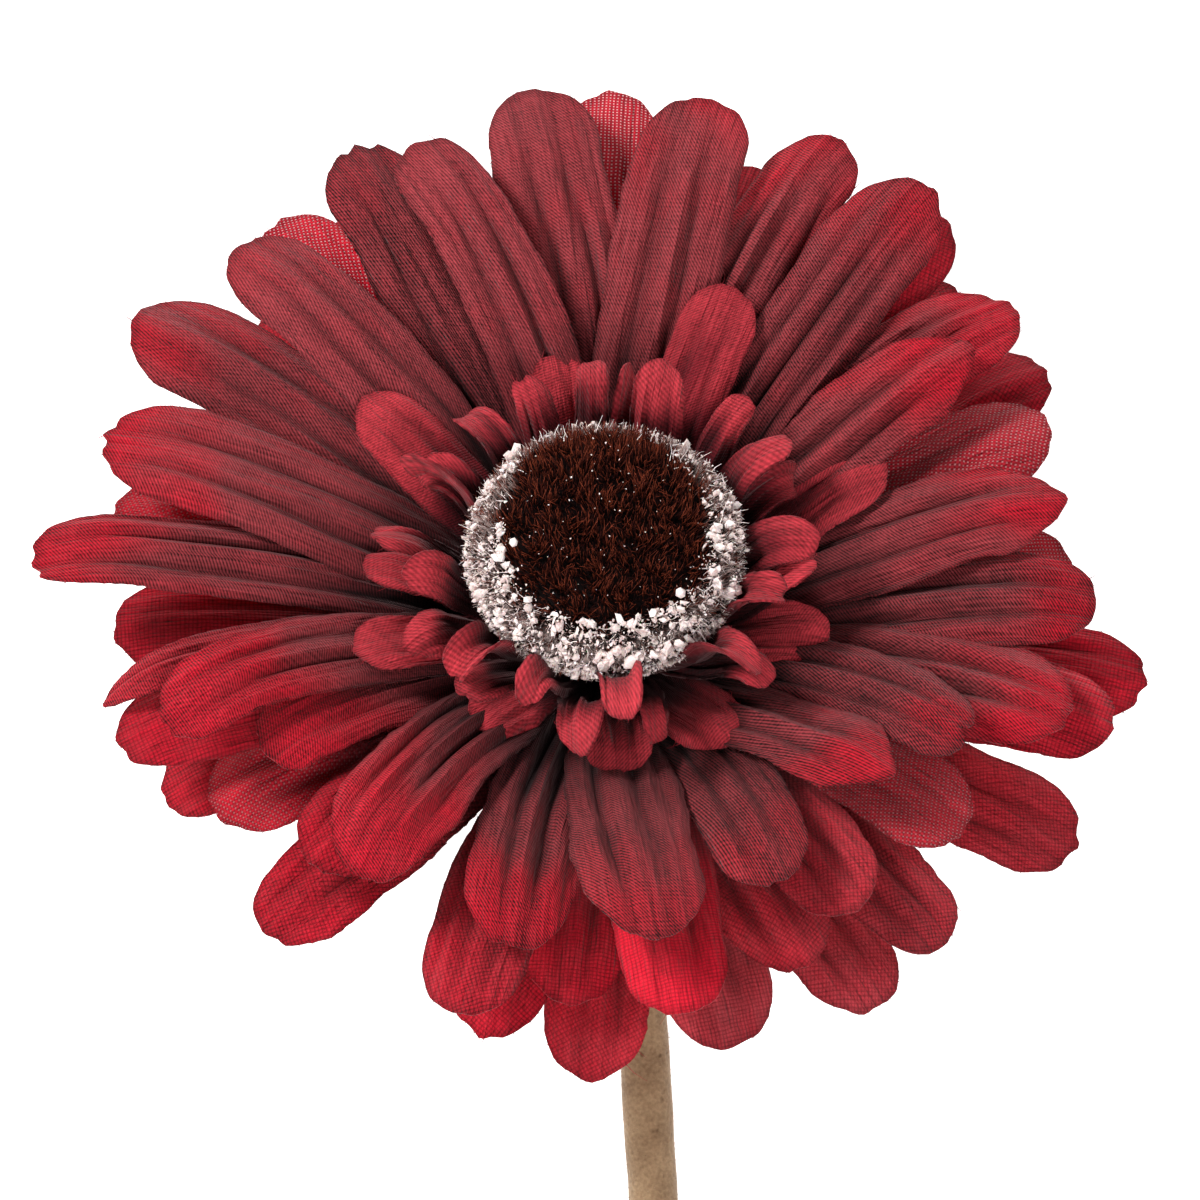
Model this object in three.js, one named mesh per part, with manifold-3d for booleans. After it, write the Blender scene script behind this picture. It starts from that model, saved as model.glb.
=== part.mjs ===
// Artificial cut gerbera, lying down: fabric petal wheels threaded on a peg, a brush-like fibre
// tuft pressed on top, and a calyx and a flocked wire-cored stem below, laid along the surface.
// Millimetres and degrees, +Z up. The stem runs towards -Y and the flower looks up and towards +Y.

import * as THREE from 'three';
import { mergeVertices } from 'three/addons/utils/BufferGeometryUtils.js';
import Module from 'manifold-3d';

const wasm = await Module();
wasm.setup();

// ---------------------------------------------------------------------------------------------
// Driving dimensions. Heights on the flower are measured along its axis, from the flower's
// centre inside the tuft; radii are measured from that axis.

const headTilt = 28;            // the flower's axis leans this far from +Z towards +Y

const fabricThickness = 0.4;    // stiffened cloth of every wheel
const hubSpacing = 1.0;         // from one wheel's hub to the next on the peg
const topHubHeight = -9.5;      // hub of the innermost floret wheel
const collarDrop = 0.8;         // extra room between the collar wheels and the large ones
const threadClearance = 0.3;    // hub hole, cup bore and calyx bore around the peg
const seatClearance = 0.35;     // between pieces that rest on one another along the axis

const pegRadius = 1.5;
const pegIntoCup = 2.2;         // length of peg inside the tuft's cup

const tuftRadius = 14.2;        // widest, at the rim of the fibres
const tuftRimHeight = 5;
const tuftBaseRadius = 7.6;     // where the fibres leave the cup
const tuftBaseHeight = -5.2;
const tuftCrownRadius = 11.8;
const tuftCrownHeight = 8.5;
const tuftHeight = 9.7;

const cupWall = 1.2;
const cupFloor = 1.0;

const calyxRimRadius = 9;
const calyxHeight = 6.7;
const calyxWall = 1.1;
const collarWall = 1.1;         // round the stem's socket
const socketDepth = 3;
const socketClearance = 0.3;

const stemDiameter = 5.2;
const wireDiameter = 1.6;
const wireClearance = 0.3;
const stemLength = 395;         // measured along Y, from the flower's centre to the cut end
const wireInset = 1.5;          // the wire stops short of the cut end

// Large wheels from the top down: reach and rise of a plain petal's tip, and its root.
const petalRootRadius = 8;
const petalRootWidth = 4.4;
const petalArch = 11;           // how far the petal's side view bows above its chord, in degrees
const petalCup = 0.7;           // how far the long edges hang below the midline
const petalReach = 50;
const wheelFurtherReach = [0, 1, 2, 0, -1];
const wheelRise = [7, 3.5, 0, -6, -12];
const petalWidth = 11;

// Collar wheels from the outside in: tongues, outer florets, inner florets.
const collarRootRadius = 6;
const collarRootWidth = 2.5;
const collarArch = 5;
const collarCup = 0.3;
const tongueGap = 9.8;          // tip of a plain tongue from the tuft's rim
const tongueLift = 5.3;         // a plain tongue's tip above the chord of a plain top petal
const tongueWidth = 7;
const outerFloretGap = 5.4;
const innerFloretGap = 3.1;
const innerFloretRise = 6.2;
const floretWidth = 4.6;
const floretCount = 12;

// Each row is one petal: bearing of its root, bearing of its tip, then how much further it
// reaches, rises and widens than a plain petal of its wheel. Bearings run from +X towards +Y.
const wheelPetals = [
  [
    [11, 7, -4, 0, 0], [34, 31, -7, 0.5, -1], [55, 54, 0.5, 0, 0], [82, 79, 1.5, 0, 1],
    [100, 116, -2.5, 0.5, -1.5], [130, 138, 0.5, 0, -1], [162, 170, 1.5, 0.5, 0],
    [191, 203, -2.5, 1, -2], [226, 236, -4, 2, 0.5], [273, 278, -2.5, 3.8, 1.5],
    [313, 317, -11, 1, -2], [338, 328, -7, 2, -2],
  ],
  [
    [357, 354, -1.5, 0.5, -0.5], [45, 36, -1, 0.5, 0], [74, 66, 2, 0, -0.5], [91, 98, 2.5, 0.5, 1],
    [119, 120, 2.5, 0, -0.5], [144, 150, 3, 0, 0.5], [173, 181, 6, 2.5, -2.5],
    [186, 195, 1.5, -0.5, -4], [205, 217, -12, -2, -2], [251, 258, -4.5, 1.5, 0],
    [302, 295, -9, 3, -0.5], [345, 340, -1.5, 0.5, 1],
  ],
  [
    [90, 89, 3, 0, 0], [128, 129, 1.5, 0, -0.5], [167, 170, -2, 0, -1], [196, 200, -0.5, -1, -1],
    [224, 228, -9, 0, 0], [252, 253, -2, -0.5, -0.5], [280, 280, -2, 0, 0.5],
    [306, 304, -7.5, 1, -0.5], [325, 322, -7, 0, 0], [344, 342, 1, 0, 0], [24, 22, -4, 0, 0],
    [54, 51, 2, 0, -0.5],
  ],
  [
    [74, 73, 3, 0.5, 0], [50, 47, 1.5, 0, 0], [33, 32, 2.5, 0.5, 0], [352, 350, 4.5, 0.5, 0],
    [313, 312, 1, 0, -0.5], [298, 296, -5, 0.5, -0.5], [266, 265.5, -5.5, 0.5, 0],
    [229, 227, -0.5, -0.5, -0.5], [208, 210, -5, 0, 0], [181, 182, -0.5, 0, -1],
    [136, 136.5, -2, 0.5, -0.5], [119, 120, 3.5, 0, -0.5],
  ],
  [
    [11, 10, -0.5, 0, -0.5], [60, 60, 0, -1.5, 0], [90, 90, -1, 1, 0], [120, 120, 0, -1.5, 0],
    [149, 149, -3, 0, 0], [185, 186, -3, 0, -1], [201, 202, -1, 0, -0.5],
    [258, 259, -2.5, 0, -0.5], [270, 269, 0.5, -1, 0], [288, 287, 0, 0, 0],
    [304, 303, 2, 1, -0.5], [334, 332, 4.5, -1, 0],
  ],
];

const tongues = [
  [70, 66, 6.5, 3, 1.5], [102, 102, -3, -2, -1], [144, 147, 5, 2.5, 1], [173, 175, 0, 0, -1.5],
  [200, 198, 2, 1, -1], [230, 231, -4.5, -3, -0.5], [273, 274, -2, -1.3, 0.5],
  [305, 306, -2.5, -0.8, 0.5], [344, 345, -1, -0.6, -0.5], [20, 18, 4.5, 2, 0.5],
];

// Where the lying stem passes, as steps along Y from the flower's centre and sideways along X.
const stemRoute = [
  [-30, 1.0], [-36, 2.6], [-44, 3.7], [-62, 4.8], [-90, 6.2], [-130, 7.8], [-180, 8.8],
  [-240, 9.0], [-310, 7.9],
];
const stemEndDrift = 5.6;

// ---------------------------------------------------------------------------------------------
// Materials.

const plumCloth = new THREE.MeshStandardMaterial({ color: 0x6f2430, roughness: 0.85 });
const redCloth = new THREE.MeshStandardMaterial({ color: 0x9c2a38, roughness: 0.85 });
const floretCloth = new THREE.MeshStandardMaterial({ color: 0xa3303c, roughness: 0.85 });
const fibre = new THREE.MeshStandardMaterial({ color: 0x2b110d, roughness: 0.7 });
const darkPlastic = new THREE.MeshStandardMaterial({ color: 0x3a211a, roughness: 0.5 });
const palePlastic = new THREE.MeshStandardMaterial({ color: 0x8d7650, roughness: 0.55 });
const flock = new THREE.MeshStandardMaterial({ color: 0x9a815a, roughness: 0.95 });
const steel = new THREE.MeshStandardMaterial({ color: 0x8c8f92, roughness: 0.4, metalness: 1 });

// ---------------------------------------------------------------------------------------------
// Frames and small helpers.

const tilt = THREE.MathUtils.degToRad(headTilt);
const flowerAxis = new THREE.Vector3(0, Math.sin(tilt), Math.cos(tilt));

function weld(geometry) {
  geometry.deleteAttribute('normal');
  geometry.deleteAttribute('uv');
  return mergeVertices(geometry, 1e-3);
}

function toSolid(geometry) {
  const welded = weld(geometry);
  return new wasm.Manifold(new wasm.Mesh({
    numProp: 3,
    vertProperties: new Float32Array(welded.attributes.position.array),
    triVerts: new Uint32Array(welded.index.array),
  }));
}

function toGeometry(solid) {
  const mesh = solid.getMesh();
  const geometry = new THREE.BufferGeometry();
  geometry.setAttribute('position', new THREE.BufferAttribute(new Float32Array(mesh.vertProperties), 3));
  geometry.setIndex(new THREE.BufferAttribute(new Uint32Array(mesh.triVerts), 1));
  geometry.computeVertexNormals();
  return geometry;
}

// A body of revolution about +Z from a closed or axis-to-axis outline of [radius, height] points.
function turned(outline, sides) {
  const points = outline.map(([radius, height]) => new THREE.Vector2(radius, height));
  return new THREE.LatheGeometry(points, sides).rotateX(Math.PI / 2);
}

function ring(innerRadius, outerRadius, bottom, top, sides) {
  return turned([
    [innerRadius, bottom], [outerRadius, bottom], [outerRadius, top], [innerRadius, top],
    [innerRadius, bottom],
  ], sides);
}

// ---------------------------------------------------------------------------------------------
// Petals and wheels.

// Width of a petal along its length, as a share of its widest: a narrow root, a belly past the
// middle and a blunt round tip.
function widthShare(along, rootShare) {
  const belly = 0.62;
  const shoulder = 0.78;
  const swell = Math.min(along / belly, 1);
  const body = rootShare + (1 - rootShare) * Math.sin(swell * Math.PI / 2);
  const beyond = Math.max(0, (along - shoulder) / (1 - shoulder));
  return body * Math.sqrt(Math.max(0.05, 1 - beyond * beyond));
}

// One petal is a thin slab bent over a side-view curve from its root to its tip. The curve leaves
// the root steeper than its chord by the arch angle and meets the tip flatter by the same angle.
function petalGeometry(petal, cells) {
  const chord = Math.atan2(petal.rise - petal.hub, petal.reach - petal.rootRadius);
  const span = Math.hypot(petal.rise - petal.hub, petal.reach - petal.rootRadius) / 3;
  const arch = THREE.MathUtils.degToRad(petal.arch);
  const side = new THREE.CubicBezierCurve(
    new THREE.Vector2(petal.rootRadius, petal.hub),
    new THREE.Vector2(
      petal.rootRadius + span * Math.cos(chord + arch), petal.hub + span * Math.sin(chord + arch)),
    new THREE.Vector2(
      petal.reach - span * Math.cos(chord - arch), petal.rise - span * Math.sin(chord - arch)),
    new THREE.Vector2(petal.reach, petal.rise),
  );
  const slab = new THREE.BoxGeometry(1, 1, 1, cells.along, cells.across, 1);
  const position = slab.attributes.position;
  for (let i = 0; i < position.count; i += 1) {
    const along = position.getX(i) + 0.5;
    const across = 2 * position.getY(i);
    const layer = position.getZ(i) * fabricThickness;
    const centre = side.getPoint(along);
    const slope = side.getTangent(along);
    const bearing = THREE.MathUtils.degToRad(
      THREE.MathUtils.lerp(petal.rootBearing, petal.tipBearing, along));
    const half = petal.width / 2 * widthShare(along, petal.rootWidth / petal.width);
    const sag = petal.cup * across * across * Math.sin(Math.PI * Math.min(along, 0.85));
    const radius = centre.x - slope.y * (layer - sag);
    const height = centre.y + slope.x * (layer - sag);
    position.setXYZ(
      i,
      radius * Math.cos(bearing) - half * across * Math.sin(bearing),
      radius * Math.sin(bearing) + half * across * Math.cos(bearing),
      height,
    );
  }
  return slab;
}

// A wheel is a punched hub disc with its petals grown out of it as one piece of cloth.
function wheelGeometry(wheel, rows, cells) {
  const holeRadius = pegRadius + threadClearance;
  const half = fabricThickness / 2;
  const hubRadius = wheel.rootRadius + fabricThickness;
  let solid = toSolid(ring(holeRadius, hubRadius, wheel.hub - half, wheel.hub + half, 18));
  for (const [rootBearing, tipBearing, furtherReach, furtherRise, furtherWidth] of rows) {
    const turn = ((tipBearing - rootBearing + 540) % 360) - 180;
    solid = solid.add(toSolid(petalGeometry({
      ...wheel,
      rootBearing,
      tipBearing: rootBearing + turn,
      reach: wheel.reach + furtherReach,
      rise: wheel.rise + furtherRise,
      width: wheel.width + furtherWidth,
    }, cells)));
  }
  return toGeometry(solid);
}

const collarCount = 3;
const largeHub = (index) => topHubHeight - collarDrop - (collarCount + index) * hubSpacing;

function largeWheel(index) {
  return wheelGeometry({
    hub: largeHub(index),
    rootRadius: petalRootRadius,
    rootWidth: petalRootWidth,
    arch: petalArch,
    cup: petalCup,
    reach: petalReach + wheelFurtherReach[index],
    rise: wheelRise[index],
    width: petalWidth,
  }, wheelPetals[index], { along: 5, across: 2 });
}

function collarWheel({ hub, reach, rise }, width, rows) {
  return wheelGeometry({
    hub,
    rootRadius: collarRootRadius,
    rootWidth: collarRootWidth,
    arch: collarArch,
    cup: collarCup,
    reach,
    rise,
    width,
  }, rows, { along: 3, across: 2 });
}

// The collar wheels fan out between the tuft's rim and the top petals: the inner florets pass
// just outside the rim, the tongues stay above the top petals, and the outer florets slope
// between the two, nearer the tongues.
function collarPlaces() {
  const hubs = [0, 1, 2].map((place) => topHubHeight - place * hubSpacing);
  const reaches = [innerFloretGap, outerFloretGap, tongueGap].map((gap) => tuftRadius + gap);
  const topSlope = (wheelRise[0] - largeHub(0)) / (petalReach - petalRootRadius);
  const tongueRise = largeHub(0) + (reaches[2] - petalRootRadius) * topSlope + tongueLift;
  const slopeOf = (rise, place) => (rise - hubs[place]) / (reaches[place] - collarRootRadius);
  const outerSlope = 0.25 * slopeOf(innerFloretRise, 0) + 0.75 * slopeOf(tongueRise, 2);
  const outerRise = hubs[1] + (reaches[1] - collarRootRadius) * outerSlope;
  return [innerFloretRise, outerRise, tongueRise].map(
    (rise, place) => ({ hub: hubs[place], reach: reaches[place], rise }));
}

// Florets stand evenly round the tuft, each wheel turned by half a step from the other, with
// their tips a little uneven.
function floretRows(startBearing) {
  const step = 360 / floretCount;
  return Array.from({ length: floretCount }, (_, i) => {
    const bearing = startBearing + i * step;
    return [bearing, bearing, 0.6 * Math.sin(2.4 * i), 0.4 * Math.cos(1.7 * i), 0];
  });
}

// ---------------------------------------------------------------------------------------------
// Tuft, cup, peg and calyx, all turned about the flower's axis.

const cupBottom = topHubHeight + fabricThickness / 2 + seatClearance;
const lowestHub = largeHub(wheelPetals.length - 1);
const calyxTop = lowestHub - fabricThickness / 2 - seatClearance;
const calyxBottom = calyxTop - calyxHeight;
const socketTop = calyxBottom + socketDepth;
const pegTop = cupBottom + pegIntoCup;
const pegBottom = socketTop + seatClearance;
const threadRadius = pegRadius + threadClearance;
const socketRadius = stemDiameter / 2 + socketClearance;

function tuftGeometry() {
  return turned([
    [0, tuftBaseHeight], [tuftBaseRadius, tuftBaseHeight],
    [0.62 * tuftBaseRadius + 0.38 * tuftRadius, 0.6 * tuftBaseHeight + 0.4 * tuftRimHeight],
    [tuftRadius - 0.6, tuftRimHeight - 1.6], [tuftRadius, tuftRimHeight],
    [0.6 * tuftRadius + 0.4 * tuftCrownRadius, 0.4 * tuftRimHeight + 0.6 * tuftCrownHeight],
    [tuftCrownRadius, tuftCrownHeight],
    [0.7 * tuftCrownRadius, 0.3 * tuftCrownHeight + 0.7 * tuftHeight],
    [0.35 * tuftCrownRadius, 0.04 * tuftCrownHeight + 0.96 * tuftHeight], [0, tuftHeight],
  ], 20);
}

// A dish under the fibres, with a blind bore from below for the peg.
function cupGeometry() {
  const cupTop = tuftBaseHeight - seatClearance;
  const boreTop = pegTop + seatClearance;
  const footRadius = threadRadius + cupWall;
  return turned([
    [0, boreTop], [threadRadius, boreTop], [threadRadius, cupBottom], [footRadius, cupBottom],
    [tuftBaseRadius - cupWall, cupBottom + cupFloor], [tuftBaseRadius, cupTop - cupFloor / 2],
    [tuftBaseRadius, cupTop], [0, cupTop],
  ], 18);
}

// A bell under the wheels: peg bore above, stem socket below, hollow under its rim.
function calyxGeometry() {
  const collarRadius = socketRadius + collarWall;
  const waist = calyxTop - 0.55 * calyxHeight;
  return turned([
    [threadRadius, socketTop], [socketRadius, socketTop], [socketRadius, calyxBottom],
    [collarRadius, calyxBottom], [collarRadius + 0.4, calyxBottom + 1.4],
    [0.62 * calyxRimRadius + 0.8, waist], [calyxRimRadius, calyxTop],
    [calyxRimRadius - calyxWall, calyxTop], [0.62 * calyxRimRadius - 0.3, waist + calyxWall],
    [threadRadius + collarWall, waist + 0.8 * calyxWall], [threadRadius + collarWall, calyxTop],
    [threadRadius, calyxTop], [threadRadius, socketTop],
  ], 18);
}

function pegGeometry() {
  const length = pegTop - pegBottom;
  return new THREE.CylinderGeometry(pegRadius, pegRadius, length, 16)
    .rotateX(Math.PI / 2)
    .translate(0, 0, pegBottom + length / 2);
}

// ---------------------------------------------------------------------------------------------
// Stem. Its centreline starts in the calyx socket on the flower's axis, bends flat in one round
// elbow, and then lies on the surface along its route.

function stemCurve(headHeight) {
  const onAxis = (height) => flowerAxis.clone().multiplyScalar(height)
    .add(new THREE.Vector3(0, 0, headHeight));
  const elbowStart = onAxis(calyxBottom - 0.3);
  const drop = elbowStart.z - stemDiameter / 2;
  const down = Math.PI / 2 - tilt;
  const elbowRadius = drop / (1 - Math.cos(down));
  const points = [onAxis(socketTop - seatClearance), elbowStart];
  const elbowSteps = 5;
  for (let i = 1; i <= elbowSteps; i += 1) {
    const angle = down * (1 - i / elbowSteps);
    points.push(new THREE.Vector3(
      0.6 * (i / elbowSteps) ** 2,
      elbowStart.y - elbowRadius * (Math.sin(down) - Math.sin(angle)),
      stemDiameter / 2 + elbowRadius * (1 - Math.cos(angle)),
    ));
  }
  const last = points[points.length - 1];
  for (const [alongY, drift] of stemRoute) {
    if (alongY < last.y - 3 && alongY > -stemLength + 10) {
      points.push(new THREE.Vector3(drift, alongY, stemDiameter / 2));
    }
  }
  points.push(new THREE.Vector3(stemEndDrift, -stemLength, stemDiameter / 2));
  const curve = new THREE.CatmullRomCurve3(points, false, 'centripetal');
  curve.arcLengthDivisions = 800;
  return curve;
}

// Carries a geometry that stands along +Z from height 0 to 1 on to a stretch of the curve.
function bentAlong(geometry, curve, from, to) {
  const position = geometry.attributes.position;
  const sideways = new THREE.Vector3(1, 0, 0);
  for (let i = 0; i < position.count; i += 1) {
    const share = from + (to - from) * THREE.MathUtils.clamp(position.getZ(i), 0, 1);
    const centre = curve.getPointAt(share);
    const tangent = curve.getTangentAt(share);
    const across = sideways.clone().addScaledVector(tangent, -sideways.dot(tangent)).normalize();
    const above = new THREE.Vector3().crossVectors(tangent, across);
    centre.addScaledVector(across, position.getX(i)).addScaledVector(above, position.getY(i));
    position.setXYZ(i, centre.x, centre.y, centre.z);
  }
  return geometry;
}

// Heights from 0 to 1, close together through the elbow and wider along the straight.
function stemStations(count) {
  return Array.from({ length: count + 1 }, (_, i) => (i / count) ** 1.8);
}

function stemSleeveGeometry(curve) {
  const bore = wireDiameter / 2 + wireClearance;
  const heights = stemStations(28);
  const outer = heights.map((height) => [stemDiameter / 2, height]);
  const inner = heights.map((height) => [bore, height]).reverse();
  return bentAlong(turned([...outer, ...inner, outer[0]], 10), curve, 0, 1);
}

function stemWireGeometry(curve) {
  const heights = stemStations(28);
  const outline = heights.map((height) => [wireDiameter / 2, height]);
  const share = wireInset / curve.getLength();
  return bentAlong(turned([[0, 0], ...outline, [0, 1]], 6), curve, share, 1 - share);
}

// ---------------------------------------------------------------------------------------------
// Assembly.

function part(name, geometry, material) {
  const mesh = new THREE.Mesh(geometry, material);
  mesh.name = name;
  return mesh;
}

const head = new THREE.Group();
head.add(part('fibre_tuft', tuftGeometry(), fibre));
head.add(part('tuft_cup', cupGeometry(), darkPlastic));
const [innerPlace, outerPlace, tonguePlace] = collarPlaces();
head.add(part(
  'floret_wheel_inner', collarWheel(innerPlace, floretWidth, floretRows(7)), floretCloth));
head.add(part(
  'floret_wheel_outer', collarWheel(outerPlace, floretWidth, floretRows(22)), floretCloth));
head.add(part('tongue_wheel', collarWheel(tonguePlace, tongueWidth, tongues), floretCloth));
wheelPetals.forEach((_, index) => {
  const cloth = index < 2 ? plumCloth : redCloth;
  head.add(part(`petal_wheel_${index + 1}`, largeWheel(index), cloth));
});
head.add(part('threading_peg', pegGeometry(), darkPlastic));
head.add(part('calyx_cup', calyxGeometry(), palePlastic));
head.rotation.x = -tilt;

// The flower rests on its lowest petals, so its height follows from them.
const headHeight = -new THREE.Box3().setFromObject(head, true).min.z;
head.position.z = headHeight;

const stemPath = stemCurve(headHeight);
const stem = new THREE.Group();
stem.add(part('stem_sleeve', stemSleeveGeometry(stemPath), flock));
stem.add(part('stem_wire', stemWireGeometry(stemPath), steel));

// The origin is the middle of the bottom of everything.
const gerbera = new THREE.Group();
gerbera.add(head, stem);
const extent = new THREE.Box3().setFromObject(gerbera, true);
const middle = extent.getCenter(new THREE.Vector3());
gerbera.position.set(-middle.x, -middle.y, -extent.min.z);

export default gerbera;
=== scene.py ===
"""Artificial cut gerbera: cloth petal wheels round a frosted fibre tuft, on a flocked stem."""

import logging
import math
from dataclasses import dataclass, field
from enum import Enum

import bpy
import numpy as np
from mathutils import Matrix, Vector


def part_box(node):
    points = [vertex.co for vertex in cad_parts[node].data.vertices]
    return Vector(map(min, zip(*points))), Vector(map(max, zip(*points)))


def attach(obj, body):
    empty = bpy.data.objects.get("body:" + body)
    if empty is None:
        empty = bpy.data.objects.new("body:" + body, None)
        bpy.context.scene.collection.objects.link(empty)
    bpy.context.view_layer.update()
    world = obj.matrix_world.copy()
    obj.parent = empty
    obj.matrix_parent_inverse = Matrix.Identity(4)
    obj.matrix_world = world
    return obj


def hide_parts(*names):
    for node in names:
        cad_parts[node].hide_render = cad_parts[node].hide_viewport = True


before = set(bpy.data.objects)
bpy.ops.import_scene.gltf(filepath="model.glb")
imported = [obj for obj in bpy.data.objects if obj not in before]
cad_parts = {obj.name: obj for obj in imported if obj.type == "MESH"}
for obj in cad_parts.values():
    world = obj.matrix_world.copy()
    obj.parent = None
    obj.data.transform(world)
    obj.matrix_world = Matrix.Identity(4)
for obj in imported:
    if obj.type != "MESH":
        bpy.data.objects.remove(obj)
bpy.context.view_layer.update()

MM = 0.001
HAIR_SIDES = 3
LOG = logging.getLogger("gerbera")
Colour = tuple[float, float, float, float]
Value = bpy.types.NodeSocket | float


# ---------------------------------------------------------------------------------------------
# Numbers and meshes.


def smooth(low: float, high: float, value: np.ndarray) -> np.ndarray:
    """Smoothstep: 0 below low, 1 above high, and 3x^2 - 2x^3 of the share x in between."""
    share = np.clip((value - low) / (high - low), 0.0, 1.0)
    return share * share * (3.0 - 2.0 * share)


def waves(
    seed: int, first: np.ndarray, second: np.ndarray, pitch: float, count: int = 6,
) -> np.ndarray:
    """Smooth unevenness: the mean of plane sine waves of random heading and phase.

    Args:
        seed: picks the waves.
        first: coordinate of every point.
        second: the other coordinate.
        pitch: typical distance from crest to crest, in the coordinates' unit.
        count: how many waves are added.

    Returns:
        A value from about -1 to 1 for every point.
    """
    rng = np.random.default_rng(seed)
    heading = rng.uniform(0, 2 * np.pi, count)
    number = 2 * np.pi / pitch * rng.uniform(0.6, 1.5, count)
    phase = rng.uniform(0, 2 * np.pi, count)
    grid = (first[..., None] * np.cos(heading) + second[..., None] * np.sin(heading)) * number
    return np.sin(grid + phase).sum(axis=-1) / math.sqrt(count)


def unit(vectors: np.ndarray) -> np.ndarray:
    """The vectors at length one."""
    return vectors / np.maximum(np.linalg.norm(vectors, axis=-1, keepdims=True), 1e-12)


@dataclass
class Shell:
    """A closed mesh in millimetres, with a flat layout and paint values at every point.

    The layout is the place on the flat cloth. The paint holds four shares: plum wash, sheerness,
    depth of painted shade (at the petals' roots partly the cloth's own dark dye), and tone (partly
    the petal's own, partly painted light).
    """

    points: np.ndarray
    quads: np.ndarray
    tris: np.ndarray
    layout: np.ndarray
    paint: np.ndarray
    grain: np.ndarray

    @classmethod
    def bare(cls, points: np.ndarray, quads: np.ndarray, tris: np.ndarray) -> "Shell":
        """A shell with empty layout, paint and grain.

        Args:
            points: (n, 3) points.
            quads: faces of four points.
            tris: faces of three points.

        Returns:
            The shell.
        """
        count = len(points)
        blank = (np.zeros((count, 2)), np.zeros((count, 4)), np.zeros((count, 3)))
        return cls(points, quads.reshape(-1, 4), tris.reshape(-1, 3), *blank)

    @classmethod
    def join(cls, shells: list["Shell"]) -> "Shell":
        """One shell out of several, with each one's faces counted on from the last.

        Args:
            shells: the shells, in order.

        Returns:
            The joined shell.
        """
        starts = np.cumsum([0] + [len(s.points) for s in shells[:-1]])
        return cls(
            np.concatenate([s.points for s in shells]),
            np.concatenate([s.quads + n for s, n in zip(shells, starts)]),
            np.concatenate([s.tris + n for s, n in zip(shells, starts)]),
            np.concatenate([s.layout for s in shells]),
            np.concatenate([s.paint for s in shells]),
            np.concatenate([s.grain for s in shells]),
        )

    def build(self, name: str, crisp: float | None = None) -> bpy.types.Object:
        """Puts the shell into a Blender object at the origin.

        Args:
            name: name of the object and its mesh.
            crisp: edges that bend more than this many degrees are shaded sharp.

        Returns:
            The new object, linked to the scene.
        """
        mesh = bpy.data.meshes.new(name)
        corners = np.concatenate([self.quads.ravel(), self.tris.ravel()]).astype(np.int32)
        sizes = np.concatenate([np.full(len(self.quads), 4), np.full(len(self.tris), 3)])
        starts = np.concatenate([[0], np.cumsum(sizes)[:-1]]).astype(np.int32)
        mesh.vertices.add(len(self.points))
        mesh.vertices.foreach_set("co", (self.points * MM).astype(np.float32).ravel())
        mesh.loops.add(len(corners))
        mesh.loops.foreach_set("vertex_index", corners)
        mesh.polygons.add(len(sizes))
        mesh.polygons.foreach_set("loop_start", starts)
        mesh.polygons.foreach_set("use_smooth", np.ones(len(sizes), dtype=bool))
        flat = mesh.uv_layers.new(name="layout")
        flat.uv.foreach_set("vector", self.layout[corners].astype(np.float32).ravel())
        paint = mesh.attributes.new("paint", "FLOAT_COLOR", "POINT")
        paint.data.foreach_set("color", self.paint.astype(np.float32).ravel())
        grain = mesh.attributes.new("grain", "FLOAT_VECTOR", "POINT")
        grain.data.foreach_set("vector", self.grain.astype(np.float32).ravel())
        mesh.update(calc_edges=True)
        mesh.validate()
        if crisp is not None:
            mesh.set_sharp_from_angle(angle=math.radians(crisp))
        piece = bpy.data.objects.new(name, mesh)
        bpy.context.scene.collection.objects.link(piece)
        return piece


def grid_quads(rows: int, columns: int) -> np.ndarray:
    """Faces of a grid of points, turned towards (along rows) x (along columns).

    Args:
        rows: of the grid.
        columns: of the grid.

    Returns:
        (n, 4) point numbers.
    """
    index = np.arange(rows * columns).reshape(rows, columns)
    return np.stack(
        [index[:-1, :-1], index[1:, :-1], index[1:, 1:], index[:-1, 1:]], axis=-1).reshape(-1, 4)


def cloth_slab(surface: np.ndarray, thickness: float) -> tuple[np.ndarray, np.ndarray]:
    """Gives a surface grid its thickness, half on each side, and closes its rim.

    The normal at each point is the cross product of the two grid differences.

    Args:
        surface: (rows, columns, 3) points.
        thickness: of the cloth.

    Returns:
        Points (the upper face's, then the lower face's) and quads.
    """
    rows, columns = surface.shape[:2]
    normal = unit(np.cross(np.gradient(surface, axis=0), np.gradient(surface, axis=1)))
    upper, lower = surface + normal * thickness / 2, surface - normal * thickness / 2
    count = rows * columns
    index = np.arange(count).reshape(rows, columns)
    loop = np.concatenate([index[:, 0], index[-1, 1:], index[-2::-1, -1], index[0, -2:0:-1]])
    ahead = np.roll(loop, -1)
    faces = grid_quads(rows, columns)
    rim = np.stack([loop + count, ahead + count, ahead, loop], axis=-1)
    points = np.concatenate([upper.reshape(-1, 3), lower.reshape(-1, 3)])
    return points, np.concatenate([faces, faces[:, ::-1] + count, rim])


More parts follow.
